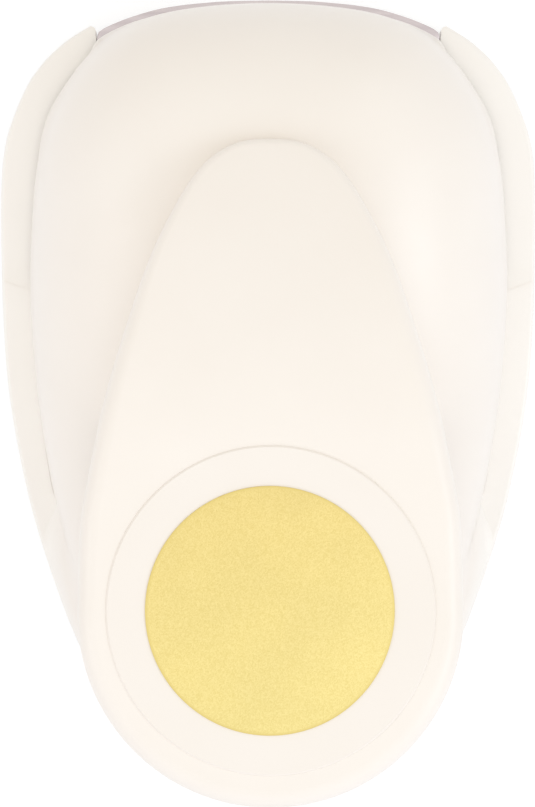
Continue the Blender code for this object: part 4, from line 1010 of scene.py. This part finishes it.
# %% The handle's skin, with the seat for the disc
SEAT_EDGE = 0.05 * MM
SEAT_FLOOR = PAD_TOP - 1.15 * MM
centre = Vector((0, LABEL_CENTRE))
outer = shell_rings(HANDLE_LOOP, 0.0, SKIRT_LOW - MM)
edge_ring = [Vector(p[:2]) for p in outer[-1]]
rays = [(p - centre).normalized() for p in edge_ring]
for t in (0.04, 0.1, 0.18, 0.27, 0.36, 0.45, 0.54, 0.63, 0.72, 0.8, 0.87, 0.93, 0.97, 1.0):
    ring = [p.lerp(centre + ray * (DISC_RADIUS + SEAT_EDGE), t) for p, ray in zip(edge_ring, rays)]
    outer.append(level(ring, handle_top))
for sin, cos in quarter(3)[1:]:
    reach = DISC_RADIUS + SEAT_EDGE * (1 - sin)
    outer.append(level([centre + ray * reach for ray in rays], PAD_TOP - SEAT_EDGE * (1 - cos)))
for share in (1, 0.5, 0):
    outer.append(level([centre + ray * DISC_RADIUS * share for ray in rays], SEAT_FLOOR))
inner_loop = grown(HANDLE_LOOP, -WALL)
inner = shell_rings(inner_loop, WALL, SKIRT_LOW - MM)
ceiling = [Vector(p[:2]) for p in inner[-1]]
middle = Vector((0, PAD_CENTRE - 12 * MM))
for t in (0.08, 0.2, 0.35, 0.5, 0.65, 0.8, 0.92, 1.0):
    inner.append(level([p.lerp(middle, t) for p in ceiling], lambda y: handle_top(y) - WALL))
handle = skin("handle", outer[::-1] + inner)
print("handle skin:", len(handle.data.polygons), "faces")

# %% Its side view, ribs and screw bosses
UNDERSIDE = (
    (-0.10, 0.45), (0.0, 0.425), (0.06, 0.405), (0.16, 0.335), (0.27, 0.18), (0.37, 0.04), (0.405, 0.0),
    (0.428, 0.10), (0.444, 0.38), (0.466, 0.68), (0.53, 0.765), (0.70, 0.86), (0.88, 0.95), (1.10, 1.0),
)
PALM_DEPTH = 10.5 * MM
rise = PAD_TOP - PALM_DEPTH - SKIRT_LOW
side_view = along([Vector((HANDLE_NOSE + HANDLE_LENGTH * y, SKIRT_LOW + rise * z)) for y, z in UNDERSIDE])
below = [(wide, p.x, p.y) for p in side_view] + [(wide, side_view[-1].x, 0), (wide, side_view[0].x, 0)]
combine(handle, prism("below", below, (-2 * wide, 0, 0)))
reach = (PAD_RADIUS - WALL) * 0.95
rib_low = PAD_TOP - WALL - 7 * MM
rib_top = PAD_TOP - WALL / 2 - 0.6 * MM
for x, y in ((MM, reach), (reach, MM)):
    combine(handle, block((-x, PAD_CENTRE - y, rib_low), (x, PAD_CENTRE + y, rib_top)), "UNION")
print("handle with its ribs:", len(handle.data.polygons), "faces")

# %% Bosses for the screws of the arm
ARM_DROP = WALL + 2.0 * MM
ARM_BOSS_RADIUS = 3.6 * MM
arm_ends = [Vector((0, y, handle_top(y) - ARM_DROP)) for y in (HANDLE_NOSE + WALL + 7 * MM, CLIMB_END - 2.9 * MM)]
tilt = (arm_ends[1] - arm_ends[0]).normalized()
upward = Vector((0, -tilt.z, tilt.y))


def arm_boss(share, radius, start, end):
    """A round boss, or the hole in it, square to the sloping arm that is screwed under it."""
    foot = arm_ends[0].lerp(arm_ends[1], share)
    return primitive(
        "arm_boss", bpy.ops.mesh.primitive_cylinder_add, vertices=32, radius=radius, depth=end - start,
        location=foot + upward * (start + end) / 2, rotation=(math.atan2(tilt.z, tilt.y), 0, 0),
    )


for share in (0.21, 0.87):
    combine(handle, arm_boss(share, ARM_BOSS_RADIUS, SEAT, ARM_DROP - 0.7 * MM), "UNION")
    combine(handle, arm_boss(share, SCREW_HOLE, -MM, 2.0 * MM))
done(handle, cream, "lever", "lever_shell")

# %% [markdown]
# ## Label disc and foil
# A separate round plate is pressed into the palm rest, and a disc of gold foil on it shows the size of the cut at
# full scale. Both are cylinder primitives. The plate has a fine bevel round its rim, which gives the thin line round
# it, and the foil is only rounded by a hair. It lies a fifth of a millimetre off centre, as a stuck label does.

# %% Plate and foil
DISC_BEVEL = 0.38 * MM
DISC_TOP = PAD_TOP + 0.4 * MM
FOIL_TOP = PAD_TOP + 0.7 * MM
disc = rod(DISC_RADIUS, PAD_TOP - 1.1 * MM, DISC_TOP, (0, LABEL_CENTRE), 256)
disc.name = disc.data.name = "palm_disc"
rounded(disc, DISC_BEVEL, lambda co: co.z > PAD_TOP, 1)
done(disc, disc_cream, "lever", "label_disc")

foil = rod(FOIL_RADIUS, FOIL_TOP - 0.25 * MM, FOIL_TOP, (FOIL_ASIDE, LABEL_CENTRE), 256)
foil.name = foil.data.name = "gold_disc"
rounded(foil, 0.12 * MM, lambda co: co.z > FOIL_TOP - 0.1 * MM, 2)
done(foil, gold, "lever", "shape_label")

# %% [markdown]
# ## Die plate
# The die is a ground steel plate with the round hole that the cutter enters. Below its sharp land the hole opens
# out, so that discs fall free. Its front edge is what shows between the prongs.

# %% Plate, bore and relief
LAND = 3 * MM
BORE_RELIEF = 0.9 * MM
plan = both_sides(die_front() + [Vector((DIE_EDGE, DIE_REAR))])
die = prism("die", level(plan, DIE_BOTTOM), (0, 0, TABLE_TOP - DIE_BOTTOM))
rounded(die, 0.25 * MM, lambda co: co.z > TABLE_TOP - MM, 2)
combine(die, rod(PUNCH_RADIUS, 0, THROUGH, (0, DIE_CENTRE), 128))
combine(die, rod(PUNCH_RADIUS + BORE_RELIEF, 0, TABLE_TOP - LAND, (0, DIE_CENTRE), 128))
combine(die, rods(DIE_SCREW_HOLE, 0, THROUGH, DIE_SCREWS))
done(die, ground_steel, "body", "die_plate")

# %% [markdown]
# ## Underside
# A cover closes the table from below. It has a round way out for the discs, wells for four rubber feet, and
# round wells for the heads of eight screws. The foot and each kind of screw are modelled once and copied to their
# places.

# %% Cover
COVER_BEVEL = 0.4 * MM
WELL_TOP = FOOT_PROUD + MM
FOOT_RADIUS = 5 * MM
HEAD_RADIUS = 2.9 * MM
FEET = paired_places(((0.62, 0.23), (0.36, 0.90)))
cover_loop = drawn_in(table_loop, WALL + SEAT)
cover_edge = grown(cover_loop, -COVER_BEVEL)
rings = [spine(cover_edge, FOOT_PROUD), level(cover_edge, FOOT_PROUD), level(cover_loop, FOOT_PROUD + COVER_BEVEL)]
cover = skin("cover", rings + [level(cover_loop, COVER_TOP), spine(cover_loop, COVER_TOP)])
combine(cover, rod(PUNCH_RADIUS + 2.6 * MM, 0, 10 * MM, (0, DIE_CENTRE), 128))
wells = [rod(FOOT_RADIUS + SEAT, 0, WELL_TOP, place, 48) for place in FEET]
wells += [rod(HEAD_RADIUS + 0.25 * MM, 0, WELL_TOP, place, 32) for place in COVER_SCREWS + HOUSING_SCREWS]
combine(cover, joined_tools(wells))
print("cover with wells:", len(cover.data.polygons), "faces")
combine(cover, rods(SCREW_HOLE, 0, 10 * MM, COVER_SCREWS + HOUSING_SCREWS))
done(cover, cream, "body", "bottom_cover")

# %% Feet
def copied(piece, name, move):
    """A copy with its own mesh, moved in its mesh."""
    only(piece)
    bpy.ops.object.duplicate(linked=False)
    made = bpy.context.active_object
    made.name = made.data.name = name
    open_all(made)
    bpy.ops.transform.translate(value=move)
    bpy.ops.object.mode_set(mode="OBJECT")
    return made


SOLE = 0.1 * MM
foot = rod(FOOT_RADIUS, 0, WELL_TOP - 0.05 * MM, (0, 0), 64)
pick(foot, "FACE", lambda co: co.z < SOLE)
bpy.ops.mesh.inset(thickness=1.4 * MM)
bpy.ops.mesh.inset(thickness=0.5 * MM, depth=-0.4 * MM)
bpy.ops.object.mode_set(mode="OBJECT")
rounded(foot, 0.5 * MM, lambda co: co.z < SOLE and co.xy.length > FOOT_RADIUS - SOLE)
for name, (x, y) in zip(("front_right", "front_left", "rear_right", "rear_left"), FEET):
    done(copied(foot, "rubber_foot_" + name, (x, y, 0)), rubber, "body", "foot_" + name)
bpy.data.objects.remove(foot, do_unlink=True)

# %% Screws
HEAD_BOTTOM, HEAD_TOP = FOOT_PROUD + 0.05 * MM, FOOT_PROUD + 0.95 * MM
CROSS_ARM, CROSS_HALF, CROSS_DEPTH = 1.7 * MM, 0.33 * MM, 0.6 * MM


def cross_screw(tip):
    """A round-headed screw with its tip at a height, its head below and a cross recess in the head."""
    screw = rod(HEAD_RADIUS, HEAD_BOTTOM, HEAD_TOP, (0, 0), 48)
    rounded(screw, 0.45 * MM, lambda co: co.z < HEAD_BOTTOM + HAIR)
    for x, y in ((CROSS_ARM, CROSS_HALF), (CROSS_HALF, CROSS_ARM)):
        combine(screw, block((-x, -y, 0), (x, y, HEAD_BOTTOM + CROSS_DEPTH)))
    stem = rod(1.5 * MM, HEAD_TOP - 0.05 * MM, tip, (0, 0), 24)
    rounded(stem, 0.4 * MM, lambda co: co.z > tip - HAIR, 1)
    return combine(screw, stem, "UNION")


for kind, places, hole_top in (("cover", COVER_SCREWS, COVER_HOLE_TOP), ("housing", HOUSING_SCREWS, HOUSING_HOLE_TOP)):
    pattern = cross_screw(hole_top - SEAT)
    for i, (x, y) in enumerate(places):
        node = f"{kind}_screw_{i + 1}"
        done(copied(pattern, "cross_" + node, (x, y, 0)), zinc, "body", node)
    bpy.data.objects.remove(pattern, do_unlink=True)

# %% [markdown]
# ## Return springs
# Two coils round the guide posts push the bridge up again. The wire is a small circle primitive that a Screw
# modifier carries round the post, which is just how a coil is wound.

# %% Coils
SPRING_TURNS = 6
SPRING_FOOT, SPRING_LOW, SPRING_HIGH = 17.6 * MM, 18.15 * MM, 28.5 * MM
SPRING_RADIUS, WIRE_RADIUS = 3.3 * MM, 0.45 * MM
POST_ASIDE = 32.3 * MM


def coil(name, x):
    """A closed wire wound round the vertical at x, beside the die's centre."""
    piece = primitive(
        name, bpy.ops.mesh.primitive_circle_add, vertices=12, radius=WIRE_RADIUS, fill_type="NOTHING",
        location=(SPRING_RADIUS, 0, SPRING_LOW), rotation=(math.pi / 2, 0, 0),
    )
    winding = piece.modifiers.new("winding", "SCREW")
    winding.axis = "Z"
    winding.angle = math.tau
    winding.iterations = SPRING_TURNS
    winding.screw_offset = (SPRING_HIGH - SPRING_LOW) / SPRING_TURNS
    winding.steps = winding.render_steps = 36
    only(piece)
    bpy.ops.object.modifier_apply(modifier=winding.name)
    bpy.ops.object.mode_set(mode="EDIT")
    bpy.ops.mesh.select_all(action="DESELECT")
    bpy.ops.mesh.select_mode(type="EDGE")
    bpy.ops.mesh.select_non_manifold()
    bpy.ops.mesh.fill_holes(sides=0)
    bpy.ops.mesh.select_all(action="SELECT")
    bpy.ops.transform.translate(value=(x, DIE_CENTRE, 0))
    bpy.ops.object.mode_set(mode="OBJECT")
    return sewn(piece)


for side, x in (("right", POST_ASIDE), ("left", -POST_ASIDE)):
    spring = coil("coil_" + side, x)
    done(spring, spring_steel, "body", "return_spring_" + side, 60)
    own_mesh(spring)

# %% [markdown]
# ## The parts that keep their CAD shape
# Pins, clips, posts, screws, the arm, the bridge and the castings are plain machined shapes, and the CAD has them
# right. They only get their metals, through their material slots.

# %% Metals for the inner parts
METALS = {"steel": zinc, "cast_aluminium": aluminium, "rubber": rubber, "cream_plastic": cream, "gold_foil": gold}
SPECIAL = {"ram": ground_steel, "gap_shim": ground_steel, "press_pin": ground_steel, "pivot_pin": ground_steel}
slots = {part["node"]: part["material_slot"] for part in frame["record"]["subparts"]}
kept = [name for name, node in frame["nodes"].items() if not node.hide_render]
for name in kept:
    look = SPECIAL.get(name, METALS[slots[name]])
    for place in frame["nodes"][name].material_slots:
        place.material = look
print("kept from the frame:", kept)
